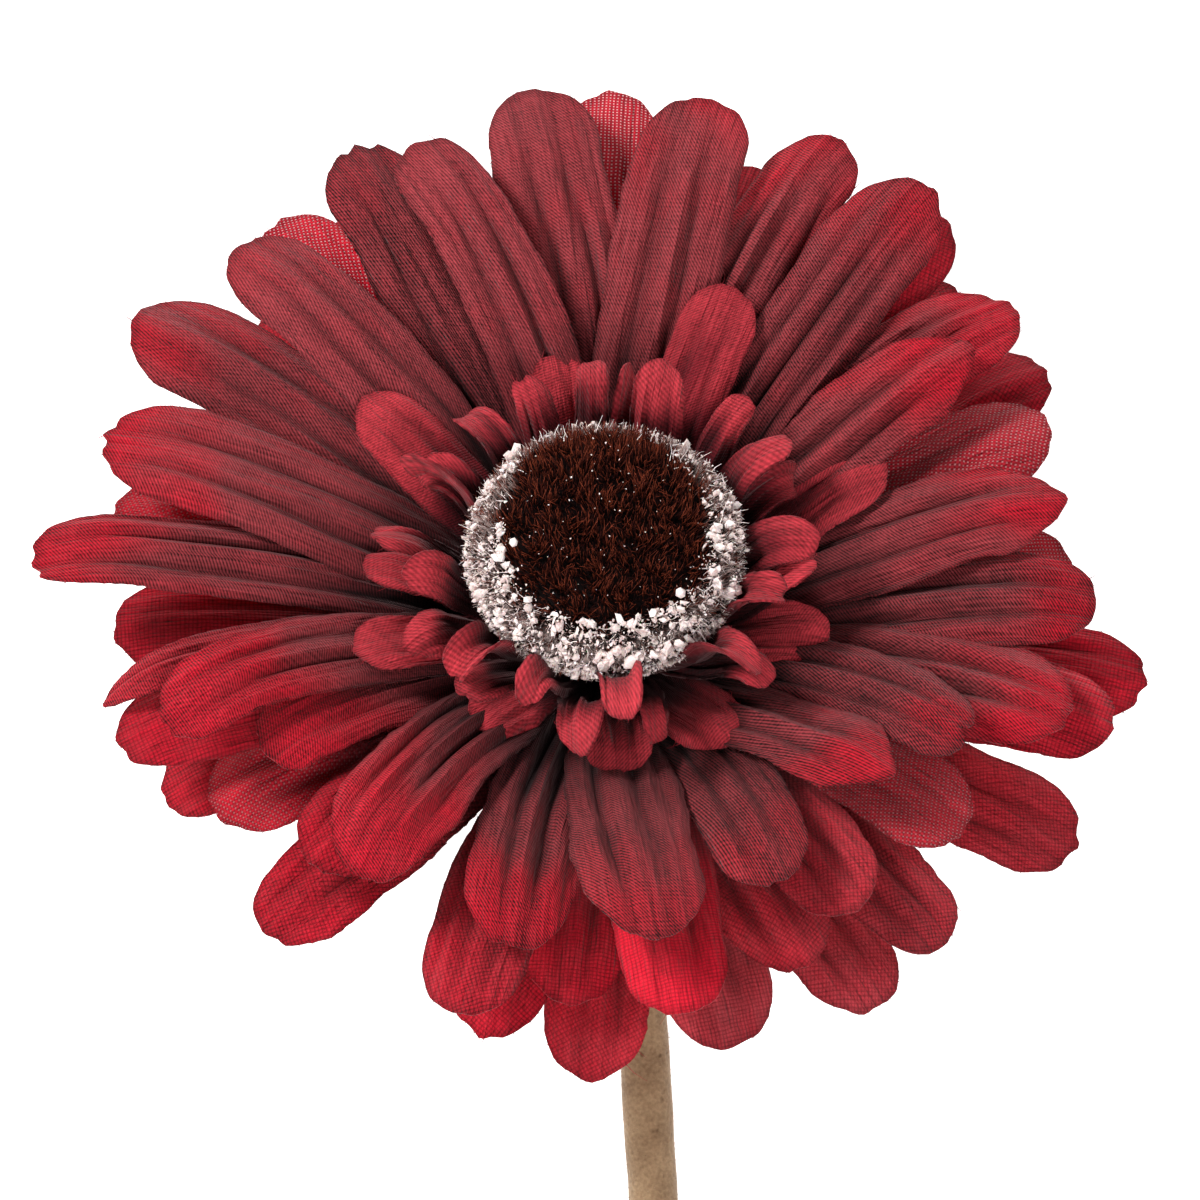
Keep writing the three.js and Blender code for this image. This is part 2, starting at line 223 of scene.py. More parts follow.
def turned(outline: list[tuple[float, float]], sides: int) -> Shell:
    """A body of revolution about +Z from (radius, height) points that run up on its outside.

    An outline that starts and ends on the axis closes in two poles; any other one is a ring that
    closes on itself.

    Args:
        outline: (radius, height) points.
        sides: points round the axis.

    Returns:
        The body.
    """
    radius, height = np.array(outline, dtype=float).T
    angle = np.linspace(0, 2 * np.pi, sides, endpoint=False)
    on_axis = radius[0] < 1e-9 and radius[-1] < 1e-9
    if on_axis:
        radius, height, low, high = radius[1:-1], height[1:-1], height[0], height[-1]
    rows = len(radius)
    points = np.stack([
        radius[:, None] * np.cos(angle), radius[:, None] * np.sin(angle),
        np.repeat(height[:, None], sides, axis=1)], axis=-1).reshape(-1, 3)
    index = np.arange(rows * sides).reshape(rows, sides)
    ahead = np.roll(index, -1, axis=1)
    if not on_axis:
        index, ahead = np.vstack([index, index[:1]]), np.vstack([ahead, ahead[:1]])
    quads = np.stack([index[:-1], ahead[:-1], ahead[1:], index[1:]], axis=-1).reshape(-1, 4)
    tris = np.zeros((0, 3), dtype=int)
    if on_axis:
        points = np.concatenate([points, [[0, 0, low], [0, 0, high]]])
        foot, crown = np.full(sides, rows * sides), np.full(sides, rows * sides + 1)
        tris = np.concatenate([
            np.stack([ahead[0], index[0], foot], axis=-1),
            np.stack([index[-1], ahead[-1], crown], axis=-1)])
    return Shell.bare(points, quads, tris)


def strands(
    base: np.ndarray, heading: np.ndarray, length: np.ndarray, radius: np.ndarray,
    bend: np.ndarray, rings: int = 4,
) -> Shell:
    """Tapered three-sided hairs.

    A hair's centreline is base + heading * length * k + bend * length * k^2 for k from 0 to 1,
    and its radius falls in a straight line by seven tenths at the tip.

    Args:
        base: (n, 3) root points.
        heading: (n, 3) unit directions.
        length: (n,) lengths.
        radius: (n,) radii at the root.
        bend: (n, 3) sideways lean at the tip, as a share of the length.
        rings: rings of points along each hair.

    Returns:
        All hairs as one shell. The paint's last value runs from 0 at the root to 1 at the tip.
    """
    count = len(base)
    share = np.linspace(0, 1, rings)
    reach = length[:, None, None] * share[None, :, None]
    centre = (base[:, None] + heading[:, None] * reach
              + bend[:, None] * reach * share[None, :, None])
    helper = np.where(np.abs(heading[:, 2:]) < 0.9, [[0.0, 0.0, 1.0]], [[1.0, 0.0, 0.0]])
    side = unit(np.cross(helper, heading))
    other = np.cross(heading, side)
    angle = np.arange(HAIR_SIDES) * 2 * np.pi / HAIR_SIDES
    cosine, sine = np.cos(angle)[None, :, None], np.sin(angle)[None, :, None]
    spoke = side[:, None] * cosine + other[:, None] * sine
    width = radius[:, None] * (1 - 0.7 * share)[None, :]
    points = centre[:, :, None] + spoke[:, None] * width[:, :, None, None]
    index = np.arange(count * rings * HAIR_SIDES).reshape(count, rings, HAIR_SIDES)
    ahead = np.roll(index, -1, axis=2)
    quads = np.stack([index[:, :-1], ahead[:, :-1], ahead[:, 1:], index[:, 1:]], axis=-1)
    caps = np.concatenate([index[:, 0, ::-1], index[:, -1]])
    shell = Shell.bare(points.reshape(-1, 3), quads, caps)
    shell.paint[:, 3] = np.broadcast_to(share[None, :, None], index.shape).ravel()
    return shell


def grains(centre: np.ndarray, size: np.ndarray, seed: int, rough: float = 1.0) -> Shell:
    """Irregular crumbs: icosahedra stretched, turned and dented at random.

    Args:
        centre: (n, 3) centres.
        size: (n,) typical radii.
        seed: picks the shapes.
        rough: share of the stretching and denting.

    Returns:
        All crumbs as one shell.
    """
    rng = np.random.default_rng(seed)
    count = len(centre)
    golden = (1 + math.sqrt(5)) / 2
    corners = unit(np.array([
        [-1, golden, 0], [1, golden, 0], [-1, -golden, 0], [1, -golden, 0],
        [0, -1, golden], [0, 1, golden], [0, -1, -golden], [0, 1, -golden],
        [golden, 0, -1], [golden, 0, 1], [-golden, 0, -1], [-golden, 0, 1]], dtype=float))
    faces = np.array([
        [0, 11, 5], [0, 5, 1], [0, 1, 7], [0, 7, 10], [0, 10, 11], [1, 5, 9], [5, 11, 4],
        [11, 10, 2], [10, 7, 6], [7, 1, 8], [3, 9, 4], [3, 4, 2], [3, 2, 6], [3, 6, 8],
        [3, 8, 9], [4, 9, 5], [2, 4, 11], [6, 2, 10], [8, 6, 7], [9, 8, 1]])
    turn, _ = np.linalg.qr(rng.normal(size=(count, 3, 3)))
    turn *= np.sign(np.linalg.det(turn))[:, None, None]
    stretch = 1 + rough * rng.uniform(-0.70, 0.45, (count, 1, 3))
    dent = 1 + rough * rng.uniform(-0.45, 0.30, (count, len(corners), 1))
    shape = np.einsum("nij,nkj->nki", turn, corners[None] * dent * stretch)
    points = centre[:, None] + shape * size[:, None, None]
    tris = faces[None] + len(corners) * np.arange(count)[:, None, None]
    shell = Shell.bare(points.reshape(-1, 3), np.zeros((0, 4), dtype=int), tris)
    shell.paint[:, 3] = np.repeat(rng.uniform(0, 1, count), len(corners))
    return shell


# ---------------------------------------------------------------------------------------------
# The flower's own frame.


@dataclass(frozen=True)
class HeadPlace:
    """Where the flower's centre is and how its axis leans. Lengths are in millimetres."""

    tilt: float = 28.0
    peg_middle: float = -13.975
    ground_gap: float = 0.35
    landing: float = 0.5

    def axis(self) -> np.ndarray:
        """Unit vector up the flower's axis."""
        lean = math.radians(self.tilt)
        return np.array([0.0, math.sin(lean), math.cos(lean)])

    def centre(self) -> np.ndarray:
        """The flower's centre: the threading peg's middle, raised along the axis.

        Returns:
            The centre, in millimetres.
        """
        low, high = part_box("threading_peg")
        middle = (np.array(low) + np.array(high)) / 2 / MM
        return middle - self.axis() * self.peg_middle

    def place(self, points: np.ndarray) -> np.ndarray:
        """Points of the flower's frame in the object's frame: a turn about X, then a shift.

        Args:
            points: (..., 3) points of the flower's frame.

        Returns:
            The points in the object's frame.
        """
        lean = math.radians(self.tilt)
        x, y, z = np.moveaxis(points, -1, 0)
        leaning = np.stack([
            x, y * math.cos(lean) + z * math.sin(lean), z * math.cos(lean) - y * math.sin(lean),
        ], axis=-1)
        return leaning + self.centre()

    def laid(self, surface: np.ndarray) -> np.ndarray:
        """The surface with whatever would sink below the ground lifted onto it.

        Its height h over the ground gap becomes the smooth maximum (h + sqrt(h^2 + l^2)) / 2,
        where l is the landing: how high over the ground the lift starts to fade.

        Args:
            surface: points of the flower's frame.

        Returns:
            The points, raised straight up.
        """
        lean = math.radians(self.tilt)
        height = self.place(surface)[..., 2] - self.ground_gap
        lift = (np.sqrt(height ** 2 + self.landing ** 2) - height) / 2
        return surface + lift[..., None] * np.array([0.0, -math.sin(lean), math.cos(lean)])

    def set_down(self, shell: Shell) -> Shell:
        """The shell moved from the flower's frame to the object's frame."""
        shell.points = self.place(shell.points)
        return shell


HEAD = HeadPlace()


# ---------------------------------------------------------------------------------------------
# Finishes.


class Bench:
    """Adds and joins the nodes of one material."""

    def __init__(self, name: str) -> None:
        """Starts an empty material.

        Args:
            name: of the material.
        """
        self.material = bpy.data.materials.new(name)
        self.material.use_nodes = True
        self.tree = self.material.node_tree
        self.tree.nodes.clear()

    def add(self, kind: str, inputs: dict | None = None, **settings) -> bpy.types.Node:
        """Adds a node.

        Args:
            kind: node type without its ShaderNode prefix.
            inputs: a value or an output socket for each input, by name or number.
            settings: properties of the node.

        Returns:
            The node.
        """
        node = self.tree.nodes.new("ShaderNode" + kind)
        for key, value in settings.items():
            setattr(node, key, value)
        for key, value in (inputs or {}).items():
            if isinstance(value, bpy.types.NodeSocket):
                self.tree.links.new(value, node.inputs[key])
            else:
                node.inputs[key].default_value = value
        return node

    def math(
        self, operation: str, first: Value, second: Value = 0.0, third: Value = 0.0,
    ) -> bpy.types.NodeSocket:
        """Result of a Math node."""
        return self.add(
            "Math", {0: first, 1: second, 2: third}, operation=operation).outputs[0]

    def sway(
        self, value: Value, weight: float, base: Value, middle: float = 0.5,
    ) -> bpy.types.NodeSocket:
        """Base plus weight times the value's distance from its middle."""
        return self.math("MULTIPLY_ADD", self.math("SUBTRACT", value, middle), weight, base)

    def mix(
        self, share: Value, first: Value | Colour, second: Value | Colour, mode: str = "MIX",
    ) -> bpy.types.NodeSocket:
        """Colour between first and second."""
        return self.add(
            "Mix", {0: share, 6: first, 7: second}, data_type="RGBA", blend_type=mode).outputs[2]

    def noise(
        self, vector: bpy.types.NodeSocket, scale: float, detail: float = 3.0,
    ) -> bpy.types.NodeSocket:
        """Noise from 0 to 1."""
        return self.add(
            "TexNoise", {"Vector": vector, "Scale": scale, "Detail": detail}).outputs["Fac"]

    def spread(
        self, value: Value, low: float, high: float, start: float = 0.0, end: float = 1.0,
    ) -> bpy.types.NodeSocket:
        """Value from low..high carried to start..end, and held there.

        Args:
            value: what is carried over.
            low: value that becomes start.
            high: value that becomes end.
            start: result at low and below.
            end: result at high and above.

        Returns:
            The result.
        """
        return self.add("MapRange", {
            "Value": value, "From Min": low, "From Max": high, "To Min": start, "To Max": end,
        }).outputs[0]

    def stretched(
        self, vector: bpy.types.NodeSocket, scale: tuple[float, float, float],
    ) -> bpy.types.NodeSocket:
        """Vector scaled per axis."""
        return self.add("Mapping", {"Vector": vector, "Scale": scale}).outputs[0]

    def finish(self, surface: bpy.types.NodeSocket) -> bpy.types.Material:
        """Joins the surface to the output.

        Args:
            surface: what the finished surface is.

        Returns:
            The material.
        """
        output = self.tree.nodes.new("ShaderNodeOutputMaterial")
        self.tree.links.new(surface, output.inputs["Surface"])
        return self.material


def colour(red: int, green: int, blue: int) -> Colour:
    """Linear colour from 8-bit display values, by the standard transfer curve.

    Args:
        red: from 0 to 255.
        green: from 0 to 255.
        blue: from 0 to 255.

    Returns:
        Linear red, green and blue, and full cover.
    """
    value = np.array([red, green, blue]) / 255
    linear = np.where(value <= 0.04045, value / 12.92, ((value + 0.055) / 1.055) ** 2.4)
    return (*[float(v) for v in linear], 1.0)


class Weave(Enum):
    """How the threads cross."""

    PLAIN = "plain"
    TWILL = "twill"


FLAT_SPAN = 130.0   # millimetres of flat cloth in one unit of layout


@dataclass(frozen=True)
class DyedCloth:
    """Stiffened dyed cloth, brushed with a dark wash. Lengths in millimetres."""

    name: str
    red: Colour
    plum: Colour
    # shade: the near-black mixed in as painted shade at the roots, in the grooves and along the
    # edges; at the roots it also stands for the cloth's own dark dye.
    shade: Colour
    sheer: Colour = colour(238, 176, 178)
    weave: Weave = Weave.PLAIN
    warp: float = 0.34
    weft: float = 0.42
    relief: float = 0.05
    # contrast: how strongly the painted light and shade of the threads changes the brightness.
    contrast: float = 0.75
    sheen: float = 0.12
    through: float = 0.10

    def threads(self, bench: Bench, flat: bpy.types.NodeSocket) -> tuple:
        """Height of the threads, and where the open corners between them are.

        A plain weave is the product of two sines, whose sign says which thread is on top; its
        root of the size is the height. A twill is a slanting sine broken across the weft.

        Args:
            bench: of the material.
            flat: place on the flat cloth, in millimetres.

        Returns:
            Height from 0 to 1, and openness from 0 to 1.
        """
        drift = bench.noise(flat, 0.35, 2.0)
        parts = bench.add("SeparateXYZ", {0: flat})
        across = bench.math("MULTIPLY_ADD", drift, 0.5, parts.outputs[0])
        down = bench.math("MULTIPLY_ADD", drift, -0.4, parts.outputs[1])
        if self.weave is Weave.TWILL:
            slant = bench.math("MULTIPLY_ADD", down, 0.8, across)
            rib = bench.math("SINE", bench.math("MULTIPLY", slant, 2 * math.pi / self.warp))
            cross = bench.math("SINE", bench.math("MULTIPLY", down, 2 * math.pi / self.weft))
            body = bench.math("MULTIPLY_ADD", cross, 0.25, rib)
            height = bench.spread(body, -1.1, 1.1)
            return height, bench.spread(height, 0.25, 0.0)
        first = bench.math("SINE", bench.math("MULTIPLY", across, math.pi / self.warp))
        second = bench.math("SINE", bench.math("MULTIPLY", down, math.pi / self.weft))
        product = bench.math("ABSOLUTE", bench.math("MULTIPLY", first, second))
        height = bench.math("POWER", product, 0.5)
        most = bench.math("MAXIMUM", bench.math("ABSOLUTE", first), bench.math("ABSOLUTE", second))
        return height, bench.spread(most, 0.75, 0.35)

    def material(self) -> bpy.types.Material:
        """Builds the node material.

        Returns:
            The material.
        """
        bench = Bench(self.name)
        uv = bench.add("UVMap", uv_map="layout").outputs[0]
        flat = bench.stretched(uv, (FLAT_SPAN, FLAT_SPAN, 1.0))
        grain = bench.add("Attribute", attribute_name="grain").outputs["Vector"]
        paint = bench.add("Attribute", attribute_name="paint")
        shares = bench.add("SeparateColor", {0: paint.outputs["Color"]})
        wash, sheer, depth = shares.outputs[0], shares.outputs[1], shares.outputs[2]
        tone = paint.outputs["Alpha"]
        height, opening = self.threads(bench, flat)

        cloud = bench.noise(flat, 0.22, 4.0)
        streak = bench.noise(bench.stretched(grain, (1.5, 0.12, 1.0)), 1.0, 4.0)
        ridge = bench.noise(bench.stretched(grain, (4.2, 0.30, 1.0)), 1.0, 3.0)
        thread = bench.noise(bench.stretched(flat, (0.5, 5.0, 1.0)), 1.0, 2.0)
        cross_thread = bench.noise(bench.stretched(flat, (5.0, 0.5, 1.0)), 1.0, 2.0)
        uneven = bench.sway(streak, 0.35, bench.sway(cloud, 0.7, wash))
        washed = bench.mix(bench.spread(uneven, 0.0, 1.0), self.red, self.plum)
        # Painted shade: the shade colour mixed in by the paint's depth share.
        shaded = bench.mix(depth, washed, self.shade)
        # Brightness follows the height of the threads and the ridge and streak folds: painted light
        # and shade of the weave and the folds. The thread noises add the yarn's own unevenness, and
        # the tone sets the level.
        level = bench.sway(height, self.contrast, tone, middle=0.55)
        for yarn_and_fold_shading, weight in (
                (thread, 0.9), (cross_thread, 0.9), (ridge, 0.8), (streak, 0.6)):
            level = bench.sway(yarn_and_fold_shading, weight, level)
        grey = bench.add("CombineColor", {0: level, 1: level, 2: level}).outputs[0]
        toned = bench.mix(1.0, shaded, grey, "MULTIPLY")
        dotted = bench.mix(bench.math("MULTIPLY", sheer, opening), toned, self.sheer)

        lift = bench.math("MULTIPLY_ADD", thread, 0.5, height)
        fine = bench.add("Bump", {"Strength": 0.7, "Distance": self.relief * MM, "Height": lift})
        folds = bench.math("MULTIPLY_ADD", ridge, 0.35, streak)
        crease = bench.add("Bump", {
            "Strength": 0.9, "Distance": 0.9 * MM, "Height": folds, "Normal": fine.outputs[0]})
        cloth = bench.add("BsdfPrincipled", {
            "Base Color": dotted, "Roughness": 0.80, "Specular IOR Level": 0.14,
            "Sheen Weight": self.sheen, "Sheen Roughness": 0.45,
            "Sheen Tint": (0.9, 0.62, 0.62, 1.0), "Normal": crease.outputs[0]})
        through = bench.add("BsdfTranslucent", {"Color": dotted})
        both = bench.add("MixShader", {0: self.through, 1: cloth.outputs[0], 2: through.outputs[0]})
        return bench.finish(both.outputs[0])


@dataclass(frozen=True)
class BrushFibre:
    """Dark brown bristle that glints red-brown, frosted where the paint says so."""

    name: str = "tuft fibre"
    # Near-black at the root: painted shade deep inside the brush; the tip holds the bristle's
    # brown.
    root: Colour = colour(10, 3, 3)
    tip: Colour = colour(60, 19, 13)
    # Painted highlight: the red-brown glint laid on towards the tips of some fibres.
    painted_glint: Colour = colour(152, 70, 46)
    frost: Colour = colour(222, 204, 198)

    def material(self) -> bpy.types.Material:
        """Builds the node material.

        Returns:
            The material.
        """
        bench = Bench(self.name)
        paint = bench.add("Attribute", attribute_name="paint")
        shares = bench.add("SeparateColor", {0: paint.outputs["Color"]})
        along = paint.outputs["Alpha"]
        place = bench.add("TexCoord").outputs["Object"]
        # Painted shade at the root of each fibre, then a painted glint growing towards the tip.
        brown = bench.mix(bench.spread(along, 0.35, 1.0), self.root, self.tip)
        brown = bench.mix(bench.math("MULTIPLY", shares.outputs[0], along), brown, self.painted_glint)
        frosted = bench.math("MULTIPLY", shares.outputs[1], bench.spread(along, 0.3, 0.8))
        patchy = bench.math("MULTIPLY", frosted, bench.spread(bench.noise(place, 900.0), 0.35, 0.6))
        base = bench.mix(patchy, brown, self.frost)
        fibre = bench.add("BsdfPrincipled", {
            "Base Color": base, "Roughness": 0.6, "Specular IOR Level": 0.06})
        return bench.finish(fibre.outputs[0])


@dataclass(frozen=True)
class FrostGrain:
    """Chalky white crumbs with a pink cast."""

    name: str = "frost crumb"
    light: Colour = colour(246, 232, 228)
    dull: Colour = colour(196, 166, 160)

    def material(self) -> bpy.types.Material:
        """Builds the node material.

        Returns:
            The material.
        """
        bench = Bench(self.name)
        tone = bench.add("Attribute", attribute_name="paint").outputs["Alpha"]
        place = bench.add("TexCoord").outputs["Object"]
        speckle = bench.noise(place, 4000.0, 2.0)
        base = bench.mix(bench.math("MULTIPLY", tone, bench.spread(speckle, 0.3, 0.7)),
                         self.light, self.dull)
        bump = bench.add("Bump", {"Strength": 0.6, "Distance": 0.1 * MM, "Height": speckle})
        crumb = bench.add("BsdfPrincipled", {
            "Base Color": base, "Roughness": 0.7, "Subsurface Weight": 0.1,
            "Subsurface Scale": 0.3 * MM, "Normal": bump.outputs[0]})
        return bench.finish(crumb.outputs[0])


@dataclass(frozen=True)
class StemFlock:
    """Short beige flock with darker specks and a soft mottle."""

    name: str = "stem flock"
    light: Colour = colour(158, 132, 101)
    dark: Colour = colour(117, 92, 68)
    speck: Colour = colour(84, 60, 40)

    def material(self) -> bpy.types.Material:
        """Builds the node material.

        Returns:
            The material.
        """
        bench = Bench(self.name)
        place = bench.add("TexCoord").outputs["Object"]
        mottle = bench.noise(place, 260.0, 5.0)
        pile = bench.noise(place, 2600.0, 3.0)
        rare = bench.noise(bench.stretched(place, (1.0, 0.7, 1.0)), 900.0, 1.0)
        both = bench.math("MULTIPLY_ADD", pile, 0.5, bench.math("MULTIPLY", mottle, 0.6))
        base = bench.mix(bench.spread(both, 0.4, 0.72), self.dark, self.light)
        base = bench.mix(bench.spread(rare, 0.70, 0.78, 0.0, 0.8), base, self.speck)
        lift = bench.math("MULTIPLY_ADD", mottle, 0.5, pile)
        bump = bench.add("Bump", {"Strength": 0.8, "Distance": 0.12 * MM, "Height": lift})
        flock = bench.add("BsdfPrincipled", {
            "Base Color": base, "Roughness": 0.95, "Specular IOR Level": 0.1,
            "Sheen Weight": 0.35, "Sheen Roughness": 0.5,
            "Sheen Tint": (1.0, 0.9, 0.75, 1.0), "Normal": bump.outputs[0]})
        return bench.finish(flock.outputs[0])


@dataclass(frozen=True)
class MouldedPlastic:
    """Moulded plastic with a faint grain and worn, paler high spots."""

    name: str
    body: Colour
    worn: Colour
    roughness: float = 0.5

    def material(self) -> bpy.types.Material:
        """Builds the node material.

        Returns:
            The material.
        """
        bench = Bench(self.name)
        place = bench.add("TexCoord").outputs["Object"]
        cloud = bench.noise(place, 220.0, 4.0)
        grain = bench.noise(place, 1800.0, 2.0)
        base = bench.mix(bench.spread(cloud, 0.35, 0.75), self.body, self.worn)
        rough = bench.spread(cloud, 0.2, 0.8, self.roughness - 0.08, self.roughness + 0.08)
        bump = bench.add("Bump", {"Strength": 0.4, "Distance": 0.04 * MM, "Height": grain})
        plastic = bench.add("BsdfPrincipled", {
            "Base Color": base, "Roughness": rough, "Normal": bump.outputs[0]})
        return bench.finish(plastic.outputs[0])


@dataclass(frozen=True)
class DrawnSteel:
    """Wire with fine drawing marks along it."""

    name: str = "drawn steel"
    tint: Colour = colour(150, 152, 155)
    dull: Colour = colour(96, 90, 84)

    def material(self) -> bpy.types.Material:
        """Builds the node material.

        Returns:
            The material.
        """
        bench = Bench(self.name)
        place = bench.add("TexCoord").outputs["Object"]
        marks = bench.noise(bench.stretched(place, (1.0, 0.05, 1.0)), 6000.0, 2.0)
        tarnish = bench.noise(place, 400.0, 4.0)
        base = bench.mix(bench.spread(tarnish, 0.4, 0.7), self.tint, self.dull)
        rough = bench.spread(marks, 0.3, 0.7, 0.28, 0.48)
        wire = bench.add("BsdfPrincipled", {
            "Base Color": base, "Metallic": 1.0, "Roughness": rough})
        return bench.finish(wire.outputs[0])


# ---------------------------------------------------------------------------------------------
# Petals.


class Tip(Enum):
    """Outline of a petal's end."""

    ROUND = "round"
    POINTED = "pointed"
    BLUNT = "blunt"
    NOTCHED = "notched"


class Pleat(Enum):
    """Pressed folds along a petal, as (place across, depth in millimetres, half spread)."""

    RIB = ((-0.30, 0.45, 0.14), (0.34, 0.40, 0.14))
    PAIR = ((-0.36, 0.85, 0.14), (0.32, 0.75, 0.15))
    THREE = ((-0.52, 0.95, 0.12), (-0.04, 1.10, 0.13), (0.46, 0.90, 0.12))
    DEEP_PAIR = ((-0.30, 1.40, 0.17), (0.28, 1.25, 0.17))
    FAN = ((-0.62, 0.60, 0.09), (-0.22, 0.80, 0.10), (0.20, 0.80, 0.10), (0.60, 0.55, 0.09))


@dataclass(frozen=True)
class Petal:
    """One petal of a wheel.

    The first five are the bearing of its root, the bearing of its tip, and how much further it
    reaches, rises and widens than a plain petal of its wheel. The rest is its press and its dye:
    the pleats, the tip's outline, the degrees by which each long edge is cupped up, the degrees
    by which its end hooks down and where that starts, the roll of its tip in degrees, how red its
    end is and where the red starts, its sheerness, its tone, and how much it thins to its tip.
    The tone is partly its own depth of dye and partly painted light: it is raised on petals that
    the light falls on and lowered on those in shade.
    """

    root: float
    tip: float
    reach: float
    rise: float
    widen: float
    pleat: Pleat = Pleat.PAIR
    end: Tip = Tip.ROUND
    cup: float = -16.0
    hook: float = 22.0
    hook_from: float = 0.74
    roll: float = 0.0
    red: float = 0.8
    red_from: float = 0.68
    sheer: float = 0.0
    tone: float = 1.0
    thin: float = 0.0


@dataclass
class PetalWheel:
    """A wheel of cloth petals. Lengths in millimetres, heights along the flower's axis."""

    name: str
    hub: float
    reach: float
    rise: float
    petals: list[Petal]
    finish: DyedCloth
    slot: str
    below: str
    seed: int
    width: float = 11.0
    root_radius: float = 8.0
    root_width: float = 4.4
    arch: float = 11.0
    thickness: float = 0.26
    hole_radius: float = 1.8
    rows: int = 78
    columns: int = 27
    fray: int = 44
    # Painted shade at the roots, partly the cloth's own dark dye: full below the first share of the
    # length, gone past the second.
    root_dye_and_shade_span: tuple[float, float] = (0.16, 0.62)
    pressing: float = 1.55
    cut_margin: float = 6.0
    least_fill: float = 0.3001
    flat_area: float = field(default=0.0, init=False)

    def side_view(self, petal: Petal, along: np.ndarray) -> tuple:
        """The petal's side view, a cubic curve in (radius, height) whose end hooks down.

        The curve leaves the root at the chord's slope plus the arch and meets the tip at the
        chord's slope minus it, with handles of a third of the chord. Its heading is then turned
        down by the hook, and its steps are summed up again.

        Args:
            petal: the petal.
            along: share of the way from root to tip.

        Returns:
            Radius, height, and the heading's angle.
        """
        start = np.array([self.root_radius, self.hub])
        end = np.array([self.reach + petal.reach, self.rise + petal.rise])
        chord = math.atan2(end[1] - start[1], end[0] - start[0])
        handle = math.hypot(*(end - start)) / 3
        arch = math.radians(self.arch)
        first = start + handle * np.array([math.cos(chord + arch), math.sin(chord + arch)])
        second = end - handle * np.array([math.cos(chord - arch), math.sin(chord - arch)])
        ladder = np.linspace(0, 1.04, 300)
        k = ladder[:, None]
        spot = ((1 - k) ** 3 * start + 3 * (1 - k) ** 2 * k * first
                + 3 * (1 - k) * k ** 2 * second + k ** 3 * end)
        step = np.diff(spot, axis=0)
        heading = np.arctan2(step[:, 1], step[:, 0])
        heading -= math.radians(petal.hook) * smooth(petal.hook_from, 1.06, ladder[1:])
        size = np.linalg.norm(step, axis=1)
        radius = start[0] + np.concatenate([[0], np.cumsum(size * np.cos(heading))])
        height = start[1] + np.concatenate([[0], np.cumsum(size * np.sin(heading))])
        angle = np.concatenate([heading[:1], heading])
        return (np.interp(along, ladder, radius), np.interp(along, ladder, height),
                np.interp(along, ladder, angle))

    def outline(self, petal: Petal, rise: np.ndarray, across: np.ndarray, seed: int) -> np.ndarray:
        """Share of the petal's length that each point has, with the tip row on the end's outline.

        A round end loses a share of the length that grows as 1 - sqrt(1 - t^2) across it.

        Args:
            petal: the petal.
            rise: share of the way from the root row to the tip row.
            across: share of the half width, from -1 to 1.
            seed: picks the ragged edge.

        Returns:
            Share of the length at every point.
        """
        width = self.width + petal.widen
        length = math.hypot(self.reach + petal.reach - self.root_radius, self.rise - self.hub)
        bow = 1 - np.sqrt(np.clip(1 - across ** 2, 0, 1))
        loss = {
            Tip.ROUND: 0.52 * width / length * bow,
            Tip.BLUNT: 0.34 * width / length * bow,
            Tip.POINTED: 0.62 * width / length * np.abs(across) ** 1.8,
            Tip.NOTCHED: 0.46 * width / length * bow
            + 0.035 * np.exp(-((across - 0.1) / 0.16) ** 2),
        }[petal.end]
        ragged = 0.005 * waves(seed, across * 3.0, across * 0.0, 1.7) * (1 - bow)
        return rise * (1 - loss + ragged * rise ** 8)

    def cut(self, petal: Petal, grid: tuple, rng: np.random.Generator, seed: int) -> tuple:
        """Cuts the petal out, with swollen sides, nicked edges and a ragged end.

        The half width swells from the root as a quarter sine, then thins to the tip, and sways
        slowly. Nicks grow as the sixth power of the share across, so only the edges have them.

        Args:
            petal: the petal.
            grid: share towards the tip row, share across, and share of the petal's length.
            rng: source of chance.
            seed: picks the waves.

        Returns:
            Half width, sideways place, and how far the end row stands out.
        """
        rise, across, along = grid
        width = self.width + petal.widen
        share = self.root_width / width
        swell = share + (1 - share) * np.sin(np.minimum(along / 0.62, 1) * np.pi / 2)
        narrow = 1 - 0.10 * smooth(0.62, 1.05, along) - petal.thin * smooth(0.35, 1.0, along)
        sway = 0.05 * waves(seed + 1, along * 5, np.sign(across) * 4, 2.3)
        edge = np.abs(across) ** 6
        nick = rng.normal(0, 0.022, rise.shape) * edge
        nick += 0.10 * waves(seed + 2, along * 13, np.sign(across) * 9, 2.2) * edge
        nick += 0.045 * waves(seed + 9, along * 44, np.sign(across) * 5, 2.2) * edge
        half = width / 2 * swell * narrow * (1 + sway)
        side = across * half + np.sign(across) * nick
        return half, side, (rise > 0.999) * rng.normal(0, 0.04, rise.shape)

